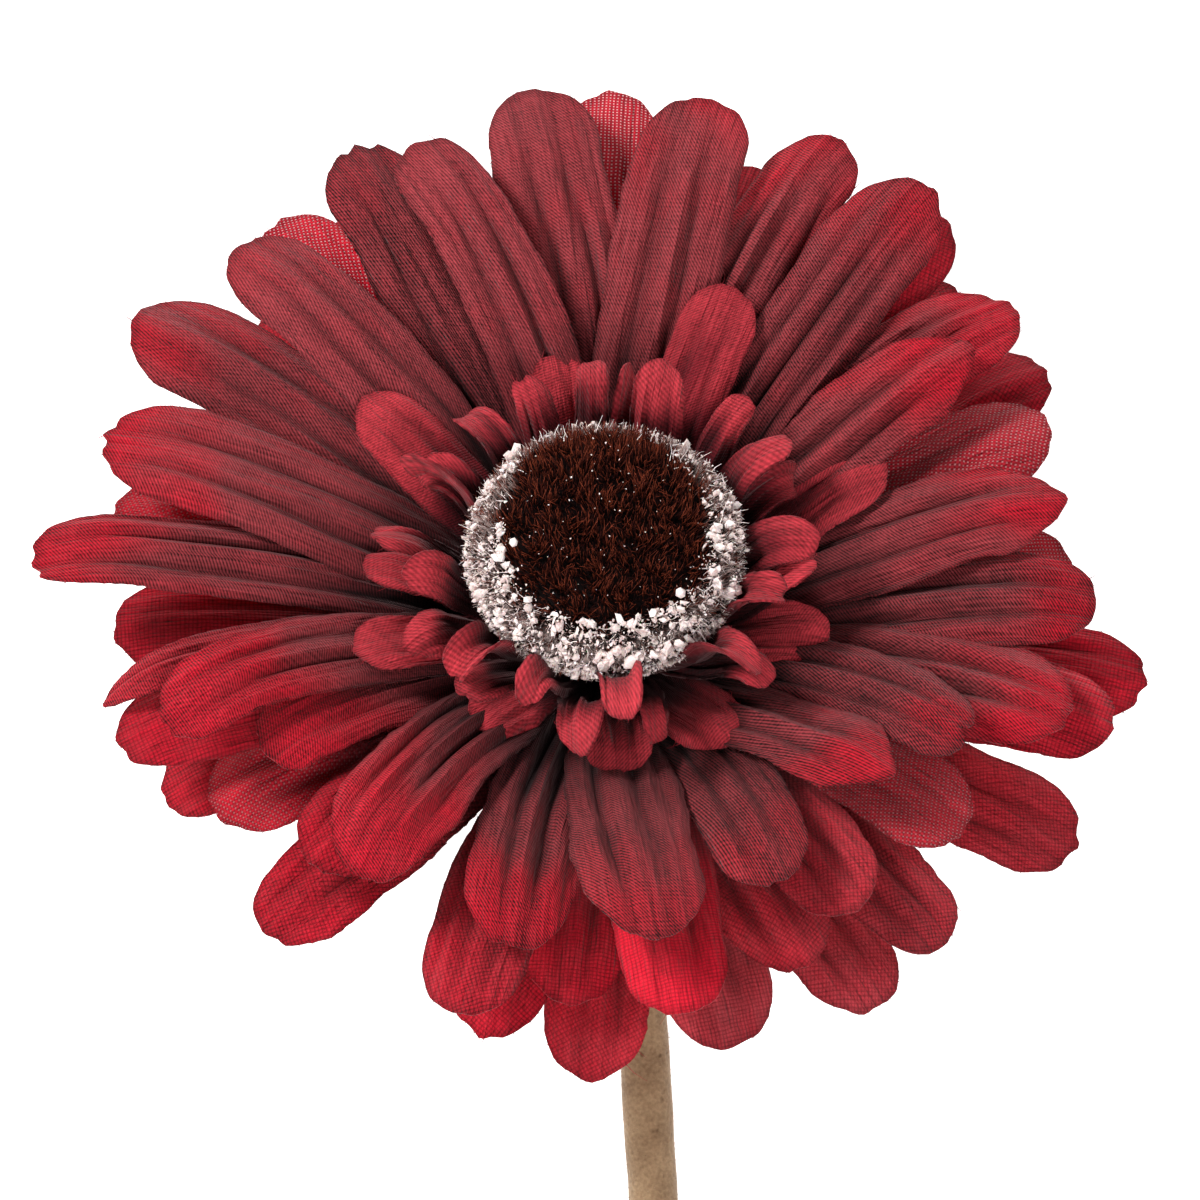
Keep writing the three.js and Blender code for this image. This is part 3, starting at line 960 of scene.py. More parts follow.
    def pressed(self, petal: Petal, grid: tuple, rng: np.random.Generator, seed: int) -> tuple:
        """Presses the pleats in, and puckers the cloth between them.

        A pleat dips as a Gauss bell of the place across it and rises in wider shoulders beside
        it. The press fades at both ends of the petal, where slow waves take over.

        Args:
            petal: the petal.
            grid: share towards the tip row, share across, and share of the petal's length.
            rng: source of chance.
            seed: picks the waves.

        Returns:
            Height over the unpressed petal, and how far down a groove each point is.
        """
        rise, across, along = grid
        press = smooth(0.02, 0.16, along) * (1 - 0.85 * smooth(0.70, 0.99, along))
        groove, height = np.zeros_like(along), np.zeros_like(along)
        wander = 0.05 * waves(seed + 3, along * 3, along * 0, 2.0)
        for place, depth, spread in petal.pleat.value:
            off = across - place * rng.uniform(0.8, 1.2) - wander
            dip = np.exp(-(off / spread) ** 2)
            shoulder = np.exp(-(off / (2.1 * spread)) ** 2)
            deep = self.pressing * depth * rng.uniform(0.8, 1.25)
            height += deep * press * (0.55 * shoulder - dip)
            groove += press * dip ** 1.5 * min(1.0, depth)
        height += 0.24 * press * waves(seed + 4, across * 4.2, along * 1.2, 1.7)
        height += 0.45 * smooth(0.3, 1.0, along) * waves(seed + 5, across * 0.9, along * 2.4, 1.9)
        flop = smooth(0.45, 1.0, along) * across ** 2
        height += 0.30 * flop * waves(seed + 6, along * 4.0, np.sign(across) * 3, 2.4)
        height -= 0.30 * smooth(0.86, 1.0, rise)
        return height, groove

    def painted(self, petal: Petal, grid: tuple, groove: np.ndarray, seed: int) -> np.ndarray:
        """Paint of one face: plum wash, sheerness, depth of shade and tone at every point.

        The wash gives way to red past the petal's own place. Painted shade gathers at the root,
        where it also stands for the cloth's own dark dye, in the grooves and along the brim. The
        tone is partly the petal's own and partly painted light.

        Args:
            petal: the petal.
            grid: share towards the tip row, share across, and share of the petal's length.
            groove: how far down a groove each point is.
            seed: picks the waves.

        Returns:
            (points, 4) paint.
        """
        rise, across, along = grid
        cloud = 0.07 * waves(seed + 7, along * 6, across * 1.5, 2.2)
        reddening = smooth(-0.14, 0.20, along + cloud + 0.05 * across ** 2 - petal.red_from)
        wash = 1 - petal.red * reddening
        # Painted shade: at the root (partly the cloth's own dark dye), deep in the grooves, and in
        # a thin line along the brim.
        dark = 1 - smooth(*self.root_dye_and_shade_span, along + 0.5 * cloud)
        brim = np.maximum(smooth(0.90, 1.0, np.abs(across)) * smooth(0.2, 0.5, along),
                          smooth(0.972, 1.0, rise))
        dark = np.clip(0.94 * dark + 0.62 * groove + 0.40 * brim, 0, 1)
        edge = np.abs(across) ** 6
        veil = petal.sheer * smooth(0.35, 0.6, along + cloud) * (1 - 0.3 * edge)
        # Tone: partly the petal's own, partly painted light that brightens lit petals and darkens
        # shaded ones; the mottle is random.
        mottle = 1 + 0.05 * waves(seed + 8, along * 4, across, 1.5)
        tone = np.full_like(along, petal.tone) * mottle
        return np.stack([wash, veil, dark, tone], axis=-1).reshape(-1, 4)

    def bent(self, petal: Petal, grid: tuple, form: tuple) -> tuple:
        """Cups, rolls and curves the petal, and sets it on the wheel.

        Cupping wraps each row on an arc, at x sin(b) / b across and x (1 - cos(b)) / b up for
        the bend b there. Rolling turns a row about the petal's middle, more towards the tip.

        Args:
            petal: the petal.
            grid: share towards the tip row, share across, and share of the petal's length.
            form: half width, sideways place, raggedness of the end, and pressed height.

        Returns:
            The (rows, columns, 3) surface, and the cupped and rolled sideways place.
        """
        across, along = grid[1:]
        half, side, ragged_end, height = form
        bend = math.radians(petal.cup) * smooth(0.0, 0.45, along) * across
        bend += math.copysign(1e-4, petal.cup)
        reach = half * across
        side = side + reach * (np.sin(bend) / bend - 1)
        height = height + reach * (1 - np.cos(bend)) / bend

        turn = np.radians(petal.roll) * smooth(0.25, 1.0, along)
        side, height = (
            side * np.cos(turn) - height * np.sin(turn),
            side * np.sin(turn) + height * np.cos(turn))

        radius, level, heading = self.side_view(petal, along)
        slope_out, slope_up = np.cos(heading), np.sin(heading)
        radius = radius - slope_up * height + slope_out * ragged_end
        level = level + slope_out * height + slope_up * ragged_end
        swing = ((petal.tip - petal.root + 540) % 360) - 180
        bearing = np.radians(petal.root + swing * along)
        surface = np.stack([
            radius * np.cos(bearing) - side * np.sin(bearing),
            radius * np.sin(bearing) + side * np.cos(bearing), level], axis=-1)
        return HEAD.laid(surface), side

    def petal_shell(self, petal: Petal, number: int) -> Shell:
        """Builds one petal: its bent, pleated surface, its paint and its flat layout.

        The flat layout puts each petal of the wheel 30 degrees on from the last.

        Args:
            petal: the petal.
            number: its place in the wheel, which picks its chance.

        Returns:
            The petal with its loose threads.
        """
        seed = self.seed * 100 + number
        rng = np.random.default_rng(seed)
        rise = np.linspace(0, 1, self.rows) ** 0.92
        across = np.sin(np.linspace(-1, 1, self.columns) * np.pi / 2)
        rise, across = np.meshgrid(rise, across, indexing="ij")
        along = self.outline(petal, rise, across, seed)
        grid = rise, across, along
        half, side, ragged_end = self.cut(petal, grid, rng, seed)
        height, groove = self.pressed(petal, grid, rng, seed)
        surface, side = self.bent(petal, grid, (half, side, ragged_end, height))
        points, quads = cloth_slab(surface, self.thickness)
        shell = Shell.bare(points, quads, np.zeros((0, 3), dtype=int))

        length = self.reach + petal.reach - self.root_radius
        cells = np.cross(np.diff(surface, axis=0)[:, :-1], np.diff(surface, axis=1)[:-1])
        self.flat_area += float(np.linalg.norm(cells, axis=-1).sum())
        turn = math.radians(30.0 * number)
        out = self.root_radius + along * length
        flat = np.stack([
            0.5 + (out * math.cos(turn) - side * math.sin(turn)) / FLAT_SPAN,
            0.5 + (out * math.sin(turn) + side * math.cos(turn)) / FLAT_SPAN], axis=-1)
        shell.layout = np.tile(flat.reshape(-1, 2), (2, 1))
        paint = self.painted(petal, grid, groove, seed)
        under = paint.copy()
        under[:, 0] = np.clip(under[:, 0] * 0.7, 0, 1)
        shell.paint = np.concatenate([paint, under])
        grain = np.stack([across * half, out, np.full_like(along, 7.3 * seed)], axis=-1)
        shell.grain = np.tile(grain.reshape(-1, 3), (2, 1))
        return Shell.join([shell, self.frayed(surface, shell, seed)])

    def frayed(self, surface: np.ndarray, shell: Shell, seed: int) -> Shell:
        """Loose threads that stand out from the long edges and the end of one petal.

        Args:
            surface: (rows, columns, 3) petal surface.
            shell: the petal, for the paint where a thread starts.
            seed: picks the threads.

        Returns:
            The threads as one shell.
        """
        rng = np.random.default_rng(seed + 50)
        rows, columns = surface.shape[:2]
        row = (rng.beta(2.2, 1.0, self.fray) * (rows - 2)).astype(int) + 1
        column = np.where(rng.random(self.fray) < 0.5, 0, columns - 1)
        at_end = rng.random(self.fray) < 0.35
        row = np.where(at_end, rows - 1, row)
        column = np.where(at_end, rng.integers(1, columns - 1, self.fray), column)
        inner_row = np.where(at_end, rows - 3, row)
        inner_column = np.where(at_end, column, np.where(column == 0, 2, columns - 3))
        base = surface[row, column]
        outward = unit(base - surface[inner_row, inner_column])
        drift = unit(rng.normal(size=(self.fray, 3)))
        heading = unit(outward + 0.75 * drift)
        length = 0.25 + rng.exponential(0.28, self.fray)
        length = np.minimum(length, 2.6)
        hairs = strands(
            base - outward * 0.15, heading, length + 0.15, rng.uniform(0.025, 0.05, self.fray),
            0.4 * unit(rng.normal(size=(self.fray, 3))), rings=3)
        source = row * columns + column
        per_hair = len(hairs.points) // self.fray
        hairs.paint = np.repeat(shell.paint[source], per_hair, axis=0)
        hairs.layout = np.repeat(shell.layout[source], per_hair, axis=0)
        hairs.grain = np.repeat(shell.grain[source], per_hair, axis=0)
        hairs.points = HEAD.laid(hairs.points)
        return hairs

    def hub_shell(self) -> Shell:
        """The punched disc that the petals grow from.

        Returns:
            The disc, painted in the shade.
        """
        half = self.thickness / 2
        disc = turned([
            (self.hole_radius, self.hub - half), (self.root_radius + 0.3, self.hub - half),
            (self.root_radius + 0.3, self.hub + half), (self.hole_radius, self.hub + half)], 48)
        disc.layout = 0.5 + disc.points[:, :2] / FLAT_SPAN
        disc.paint[:] = (0.8, 0.0, 0.8, 1.0)
        disc.grain = disc.points.copy()
        self.flat_area += math.pi * (self.root_radius ** 2 - self.hole_radius ** 2)
        return disc

    def build(self) -> bpy.types.Object:
        """Returns:
            Its piece.
        """
        self.flat_area = 0.0
        shells = [self.petal_shell(petal, n) for n, petal in enumerate(self.petals)]
        whole = HEAD.set_down(Shell.join([*shells, self.hub_shell()]))
        piece = whole.build(self.name + "_cloth", crisp=55)
        piece.data.materials.append(self.finish.material())
        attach(piece, "root")
        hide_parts(self.name)
        LOG.info("%s: %d points, flat area %.0f mm2",
                 piece.name, len(whole.points), self.flat_area)
        return piece


@dataclass
class CollarWheel(PetalWheel):
    """A wheel of small curled florets or tongues round the tuft."""

    width: float = 4.7
    root_radius: float = 6.0
    root_width: float = 3.0
    arch: float = -4.0
    rows: int = 40
    columns: int = 17
    fray: int = 12
    # The florets' painted root shade reaches over most of their length.
    root_dye_and_shade_span: tuple[float, float] = (0.55, 0.95)
    pressing: float = 0.8


def floret_ring(start: float, seed: int, lift: float, count: int = 12) -> list[Petal]:
    """Florets, evenly spaced, a little uneven in reach and rise, each curled its own way.

    Those on the side that the flower leans away from stand higher and closer to the tuft.

    Args:
        start: bearing of the first.
        seed: picks the curls.
        lift: how much higher than the pressed wheel their curled tips stand.
        count: how many.

    Returns:
        The florets.
    """
    rng = np.random.default_rng(seed)
    bearing = start + 360 / count * np.arange(count)
    ends = [Tip.ROUND, Tip.BLUNT, Tip.ROUND, Tip.NOTCHED]
    pleats = [Pleat.RIB, Pleat.PAIR, Pleat.RIB]
    near = np.maximum(0, -np.sin(np.radians(bearing)))
    return [
        Petal(
            float(bearing[n]), float(bearing[n]) + rng.uniform(-8, 8),
            rng.uniform(-0.8, 1.6) - 1.3 * near[n],
            lift * (1 + 0.6 * near[n]) + rng.uniform(-0.8, 1.2), rng.uniform(-0.4, 1.2),
            pleats[n % len(pleats)], ends[n % len(ends)],
            cup=rng.uniform(20, 85) * (1 if rng.random() < 0.5 else -1),
            hook=rng.uniform(50, 160), hook_from=rng.uniform(0.60, 0.76),
            roll=rng.uniform(-50, 50), red=rng.uniform(0.75, 1.0),
            red_from=rng.uniform(0.66, 0.82), tone=rng.uniform(0.9, 1.2))
        for n in range(count)]


# ---------------------------------------------------------------------------------------------
# Tuft, frost, calyx and stem.


@dataclass
class FibreTuft:
    """A dense brush of fibres over a dark core. Millimetres, in the flower's frame."""

    finish: BrushFibre = field(default_factory=BrushFibre)
    seed: int = 41
    crown_count: int = 8600
    wall_count: int = 4600
    profile: tuple = ((0.0, 9.7), (4.1, 9.7), (8.3, 9.5), (10.6, 9.0), (12.4, 8.1), (13.7, 6.8),
                      (14.3, 5.2), (14.0, 3.8), (11.8, 0.6), (9.6, -2.4), (8.0, -4.6))
    core: tuple = ((0, -5.0), (7.0, -5.0), (9.0, -2.2), (11.0, 0.6), (12.6, 3.6), (12.8, 5.0),
                   (12.2, 6.5), (10.6, 7.4), (8.0, 7.8), (4.0, 7.9), (0, 8.0))

    def spot(self, share: np.ndarray) -> tuple[np.ndarray, np.ndarray]:
        """Radius and height of the brush's outline at a share of its length from the crown.

        Args:
            share: shares of the outline's length.

        Returns:
            Radii and heights.
        """
        radius, height = np.array(self.profile).T
        run = np.concatenate([[0], np.cumsum(np.hypot(np.diff(radius), np.diff(height)))])
        return np.interp(share * run[-1], run, radius), np.interp(share * run[-1], run, height)

    def even_shares(
        self, rng: np.random.Generator, count: int, low: float, high: float,
    ) -> np.ndarray:
        """Shares of the outline's length, drawn so that the brush's surface is evenly covered.

        Args:
            rng: source of chance.
            count: how many.
            low: smallest share.
            high: largest share.

        Returns:
            The shares, more of them where the radius is larger.
        """
        ladder = np.linspace(low, high, 400)
        radius, _ = self.spot(ladder)
        total = np.cumsum(radius + 0.05)
        return np.interp(rng.random(count) * total[-1], total, ladder)

    def frost_from(self, bearing: np.ndarray) -> np.ndarray:
        """Radius where the frost starts: further out on the side the flower leans to."""
        uneven = 0.45 * waves(self.seed + 3, 5 * np.cos(bearing), 5 * np.sin(bearing), 4.0)
        return 10.4 + 2.5 * smooth(0.30, 0.95, np.sin(bearing)) + uneven

    def fibres(self, rng: np.random.Generator, count: int, low: float, high: float,
               length: tuple[float, float], jitter: float) -> Shell:
        """Fibres whose tips lie on the outline.

        Each stands along the axis, leans out with its radius, and leans with its neighbours as a
        slow wave of its place says, with its own small jitter.

        Args:
            rng: source of chance.
            count: how many.
            low: share of the outline's length where they start.
            high: and where they end.
            length: shortest and longest.
            jitter: typical lean of their own.

        Returns:
            The fibres, with their painted glints and their frost.
        """
        share = self.even_shares(rng, count, low, high)
        radius, height = self.spot(share)
        bearing = rng.uniform(0, 2 * np.pi, count)
        spoke = np.stack([np.cos(bearing), np.sin(bearing), 0 * bearing], axis=-1)
        tip = spoke * radius[:, None] + np.stack([0 * height, 0 * height, height], axis=-1)
        out = 0.9 * (radius / 14.0) ** 3 + 2.2 * smooth(8.5, 3.0, height)
        clump = np.stack([waves(self.seed + 1, tip[:, 0], tip[:, 1], 4.5),
                          waves(self.seed + 2, tip[:, 0], tip[:, 1], 4.5), 0 * radius], axis=-1)
        heading = unit(np.array([[0, 0, 1.0]]) + spoke * out[:, None] + 0.22 * clump
                       + rng.normal(0, jitter, (count, 3)))
        long = rng.uniform(*length, count)
        tip = tip + heading * rng.normal(0, 0.22, count)[:, None]
        bend = rng.normal(0, 0.03, (count, 3))
        rings = 3
        hairs = strands(tip - heading * long[:, None], heading, long,
                        rng.uniform(0.038, 0.066, count), bend, rings)
        rim = smooth(-0.2, 1.3, radius - self.frost_from(bearing))
        frosted = rim * (rng.random(count) < 0.45 + 0.4 * rim) * rng.uniform(0.4, 1.0, count)
        # Painted highlight: a glint on about half the fibres.
        painted_glint = (rng.random(count) < 0.45) * rng.uniform(0.3, 1.0, count)
        hairs.paint[:, 0] = np.repeat(painted_glint, rings * HAIR_SIDES)
        hairs.paint[:, 1] = np.repeat(frosted, rings * HAIR_SIDES)
        return hairs

    def build(self) -> bpy.types.Object:
        """Builds and dresses the tuft.

        Returns:
            Its piece.
        """
        rng = np.random.default_rng(self.seed)
        core = turned(self.core, 64)
        # The core is near-black, painted shade deep inside the brush, except on its shoulder, which
        # takes the frost crust.
        shoulder = (np.hypot(core.points[:, 0], core.points[:, 1]) > 11.5) & (core.points[:, 1] < 8)
        core.paint[:, 1] = np.where(shoulder, 0.8, 0.0)
        core.paint[:, 3] = np.where(shoulder, 0.8, 0.2)
        crown = self.fibres(rng, self.crown_count, 0.0, 0.52, (1.8, 2.8), 0.20)
        wall = self.fibres(rng, self.wall_count, 0.40, 0.85, (1.6, 2.6), 0.34)
        piece = HEAD.set_down(Shell.join([core, crown, wall])).build("fibre_tuft_brush")
        piece.data.materials.append(self.finish.material())
        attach(piece, "root")
        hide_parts("fibre_tuft")
        LOG.info("%s: %d fibres", piece.name, self.crown_count + self.wall_count)
        return piece


@dataclass
class Frost:
    """White crumbs stuck round the shoulder of the tuft, with a few strays on top."""

    tuft: FibreTuft
    finish: FrostGrain = field(default_factory=FrostGrain)
    seed: int = 77
    dust: int = 2200
    crumbs: int = 1000
    flakes: int = 210
    needles: int = 1200
    strays: int = 110
    beads: tuple = ((-9.1, -1.6, 9.9), (7.5, -7.2, 9.7))
    bead_radii: tuple[float, float] = (0.50, 0.62)

    def crust(self, rng: np.random.Generator, count: int, size: tuple[float, float],
              low: float, high: float, loose: float = 0.6) -> tuple[np.ndarray, np.ndarray]:
        """Places and sizes of crumbs on the tuft's outline, in drifts that a slow wave gathers.

        Args:
            rng: source of chance.
            count: how many.
            size: smallest and largest radius.
            low: share of the outline's length where they start.
            high: and where they end.
            loose: how far they stray from the drifts.

        Returns:
            Centres and radii.
        """
        share = self.tuft.even_shares(rng, 3 * count, low, high)
        radius, height = self.tuft.spot(share)
        bearing = rng.uniform(0, 2 * np.pi, 3 * count)
        drift = waves(
            self.seed + 1, 12 * np.cos(bearing) + height, 12 * np.sin(bearing) - height, 3.2)
        drift -= 0.8 * np.sin(bearing)
        inside = self.tuft.frost_from(bearing) - radius
        drift -= 6.0 / (1 + 2.5 * loose) * smooth(-0.2, 1.6, inside) * (height > 6.0)
        keep = np.argsort(-(drift + rng.normal(0, loose, 3 * count)))[:count]
        radius, height, bearing = radius[keep], height[keep], bearing[keep]
        proud = rng.uniform(-0.45, 0.15, count) - 0.7 * size[1] * smooth(6.6, 5.0, height)
        centre = np.stack([(radius + proud) * np.cos(bearing), (radius + proud) * np.sin(bearing),
                           height + 0.5 * proud], axis=-1)
        return centre, rng.uniform(*size, count) * rng.uniform(0.6, 1.0, count)

    def build(self) -> bpy.types.Object:
        """Builds and dresses the frost.

        Returns:
            Its piece.
        """
        rng = np.random.default_rng(self.seed)
        dust, dust_size = self.crust(rng, self.dust, (0.06, 0.17), 0.36, 0.72, 1.0)
        crumb, crumb_size = self.crust(rng, self.crumbs, (0.14, 0.45), 0.37, 0.72)
        flake, flake_size = self.crust(rng, self.flakes, (0.40, 0.80), 0.37, 0.62, 0.25)
        start, needle_size = self.crust(rng, self.needles, (0.35, 1.1), 0.38, 0.68, 1.4)
        spoke = unit(start * [1.0, 1.0, 0.0])
        heading = unit(spoke * 0.7 + [0.0, 0.0, 0.6] + rng.normal(0, 0.55, start.shape))
        needle = strands(start - 0.3 * heading, heading, needle_size + 0.3,
                         rng.uniform(0.04, 0.08, self.needles),
                         rng.normal(0, 0.25, start.shape), rings=3)
        needle.paint[:, 3] = 0.3
        share = self.tuft.even_shares(rng, self.strays, 0.0, 0.42)
        radius, height = self.tuft.spot(share)
        bearing = rng.uniform(0, 2 * np.pi, self.strays)
        stray = np.stack([radius * np.cos(bearing), radius * np.sin(bearing), height], axis=-1)
        centre = np.concatenate([dust, crumb, flake, stray])
        size = np.concatenate([
            dust_size, crumb_size, flake_size, rng.uniform(0.04, 0.11, self.strays)])
        crumbs = grains(centre, size, self.seed)
        beads = grains(np.array(self.beads), np.array(self.bead_radii), self.seed, 0.1)
        piece = HEAD.set_down(Shell.join([crumbs, beads, needle])).build("frost_crumbs", crisp=45)
        piece.data.materials.append(self.finish.material())
        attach(piece, "root")
        LOG.info("%s: %d crumbs", piece.name, len(size))
        return piece


@dataclass
class Calyx:
    """The bell under the wheels, with its stem collar. Millimetres, in the flower's frame."""

    top: float = -17.85
    height: float = 6.7
    rim: float = 9.0
    wall: float = 1.1
    bore: float = 1.8
    socket: float = 2.9
    socket_depth: float = 3.0
    ribs: int = 10

    def build(self) -> bpy.types.Object:
        """Builds and dresses the calyx.

        The bell is a body of revolution whose outside is raised into shallow ribs, as the cosine
        of the bearing times a swell that fades at both ends.

        Returns:
            Its piece.
        """
        bottom = self.top - self.height
        waist = self.top - 0.55 * self.height
        collar = self.socket + self.wall
        boss = self.bore + self.wall
        outline = [
            (self.bore, bottom + self.socket_depth), (self.socket, bottom + self.socket_depth),
            (self.socket, bottom), (collar - 0.2, bottom), (collar, bottom + 0.2),
            (collar + 0.2, bottom + 0.8), (collar + 0.4, bottom + 1.4),
            (0.5 * self.rim + 0.7, waist - 0.8), (0.62 * self.rim + 0.8, waist),
            (0.85 * self.rim, waist + 1.9), (self.rim, self.top), (self.rim - self.wall, self.top),
            (0.80 * self.rim - self.wall, waist + 2.2), (0.62 * self.rim - 0.3, waist + self.wall),
            (boss, waist + 0.8 * self.wall), (boss, self.top), (self.bore, self.top)]
        bell = turned(outline, 120)
        radius = np.hypot(bell.points[:, 0], bell.points[:, 1])
        bearing = np.arctan2(bell.points[:, 1], bell.points[:, 0])
        outer = smooth(collar + 0.3, 0.8 * self.rim, radius)
        outer *= smooth(self.top + 0.5, self.top - 2.0, bell.points[:, 2])
        swell = 1 + 0.02 * outer * np.cos(self.ribs * bearing)
        bell.points[:, :2] *= swell[:, None]
        piece = HEAD.set_down(bell).build("calyx_bell", crisp=40)
        tan = MouldedPlastic("calyx plastic", colour(140, 116, 78), colour(160, 134, 92), 0.6)
        piece.data.materials.append(tan.material())
        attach(piece, "root")
        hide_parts("calyx_cup")
        LOG.info("%s: %d points", piece.name, len(bell.points))
        return piece


@dataclass
class Stem:
    """The flocked sleeve: down the flower's axis, round one elbow, then flat along its route."""

    finish: StemFlock = field(default_factory=StemFlock)
    diameter: float = 5.2
    bore: float = 1.1
    length: float = 395.0
    socket_top: float = -21.9
    elbow_top: float = -24.85
    end_drift: float = 5.6
    route: tuple = ((-30, 1.0), (-36, 2.6), (-44, 3.7), (-62, 4.8), (-90, 6.2), (-130, 7.8),
                    (-180, 8.8), (-240, 9.0), (-310, 7.9))
    steps: int = 620
    sides: int = 40
    pile: float = 0.06
    worn_lip: float = 0.35
    hair_floor: float = 0.12

    def stations(self) -> np.ndarray:
        """The points that the centreline passes, from the calyx to the cut end.

        The elbow is an arc from the flower's axis down to the surface, with a small sideways
        drift that grows as the square of the way round it.

        Returns:
            (n, 3) points, in millimetres.
        """
        centre, axis = HEAD.centre(), HEAD.axis()
        down = math.pi / 2 - math.radians(HEAD.tilt)
        start = centre + axis * self.elbow_top
        bend = (start[2] - self.diameter / 2) / (1 - math.cos(down))
        way = np.arange(1, 6) / 5
        angle = down * (1 - way)
        elbow = np.stack([
            centre[0] + 0.6 * way ** 2,
            start[1] - bend * (math.sin(down) - np.sin(angle)),
            self.diameter / 2 + bend * (1 - np.cos(angle))], axis=-1)
        flat = np.array([(x, y) for y, x in self.route if y + centre[1] < elbow[-1, 1] - 3]
                        + [(self.end_drift, -self.length)])
        lying = np.stack([flat[:, 0] + centre[0], flat[:, 1] + centre[1],
                          np.full(len(flat), self.diameter / 2)], axis=-1)
        return np.concatenate([[centre + axis * self.socket_top, start], elbow, lying])

    def centreline(self) -> np.ndarray:
        """A smooth line through the stations.

        Centripetal Catmull-Rom: knots are spaced by the square root of the distance, and each
        stretch is the pyramid of straight blends between its four nearest stations.

        Returns:
            (steps, 3) points, evenly spaced along the line.
        """
        points = self.stations()
        before, after = 2 * points[0] - points[1], 2 * points[-1] - points[-2]
        points = np.concatenate([[before], points, [after]])
        knots = np.concatenate([[0], np.cumsum(
            np.sqrt(np.linalg.norm(np.diff(points, axis=0), axis=1)))])
        at = np.linspace(knots[1], knots[-2], 6000)
        place = np.clip(np.searchsorted(knots, at, side="right") - 1, 1, len(points) - 3)
        near = [points[place + k] for k in (-1, 0, 1, 2)]
        mark = [knots[place + k][:, None] for k in (-1, 0, 1, 2)]
        here = at[:, None]

        def blend(
            one: np.ndarray, two: np.ndarray, low: np.ndarray, high: np.ndarray,
        ) -> np.ndarray:
            """Straight blend of two points between two knots."""
            return ((high - here) * one + (here - low) * two) / (high - low)

        first = [blend(near[k], near[k + 1], mark[k], mark[k + 1]) for k in range(3)]
        second = [blend(first[k], first[k + 1], mark[k], mark[k + 2]) for k in range(2)]
        line = blend(second[0], second[1], mark[1], mark[2])
        run = np.concatenate([[0], np.cumsum(np.linalg.norm(np.diff(line, axis=0), axis=1))])
        even = np.linspace(0, run[-1], self.steps)
        return np.stack([np.interp(even, run, line[:, k]) for k in range(3)], axis=-1)

    def build(self) -> bpy.types.Object:
        """Builds and dresses the sleeve.

        The section is a circle carried square to the line, thinner by the pile and uneven by a
        twentieth of a millimetre; the bore is a smaller circle turned inwards. The calyx's end
        is a flat ring, and the cut end has a worn lip.

        Returns:
            Its piece.
        """
        line = self.centreline()
        ahead = unit(np.gradient(line, axis=0))
        side = unit(np.cross(ahead, [0.0, -0.4, 1.0]))
        above = np.cross(side, ahead)
        angle = np.linspace(0, 2 * np.pi, self.sides, endpoint=False)
        spoke = (side[:, None] * np.cos(angle)[None, :, None]
                 - above[:, None] * np.sin(angle)[None, :, None])
        way, around = np.meshgrid(
            np.linspace(0, self.length, self.steps), 3 * np.cos(angle), indexing="ij")
        skin = self.diameter / 2 - self.pile + 0.05 * waves(5, way, around, 7.0)
        outer = line[:, None] + spoke * skin[:, :, None]
        inner = line[:, None] + spoke * self.bore
        rounded = outer.copy()
        rounded[-1] = line[-1] + spoke[-1] * (self.diameter / 2 - self.worn_lip)
        wall = np.concatenate([rounded, inner[::-1]])
        rows = len(wall)
        index = np.arange(rows * self.sides).reshape(rows, self.sides)
        turn = np.roll(index, -1, axis=1)
        index, turn = np.vstack([index, index[:1]]), np.vstack([turn, turn[:1]])
        quads = np.stack([index[:-1], index[1:], turn[1:], turn[:-1]], axis=-1).reshape(-1, 4)
        sleeve = Shell.bare(wall.reshape(-1, 3), quads, np.zeros((0, 3), dtype=int))
        piece = Shell.join([sleeve, self.fuzz(outer, line)]).build("stem_flock_sleeve", crisp=60)
        piece.data.materials.append(self.finish.material())
        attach(piece, "root")
        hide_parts("stem_sleeve")
        LOG.info("%s: %d points", piece.name, len(piece.data.vertices))
        return piece

    def fuzz(self, skin: np.ndarray, line: np.ndarray, count: int = 5200) -> Shell:
        """Short flock hairs that stand out all over the sleeve.

        Args:
            skin: (steps, sides, 3) outer surface.
            line: (steps, 3) centreline.
            count: how many hairs.

        Returns:
            The hairs as one shell.
        """
        rng = np.random.default_rng(9)
        step = (len(line) * rng.random(count) ** 1.7).astype(int)
        base = skin[step, rng.integers(0, self.sides, count)]
        base = base + rng.uniform(-0.35, 0.35, (count, 1)) * unit(np.gradient(line, axis=0))[step]
        heading = unit(unit(base - line[step]) + rng.normal(0, 0.45, (count, 3)))
        base[:, 2] = np.maximum(base[:, 2], self.hair_floor)
        heading[:, 2] = np.where(base[:, 2] < 0.5, np.abs(heading[:, 2]), heading[:, 2])
        return strands(base - 0.1 * heading, unit(heading), rng.uniform(0.25, 0.5, count),
                       np.full(count, 0.035), rng.normal(0, 0.2, (count, 3)), rings=2)


# ---------------------------------------------------------------------------------------------
# Studio.


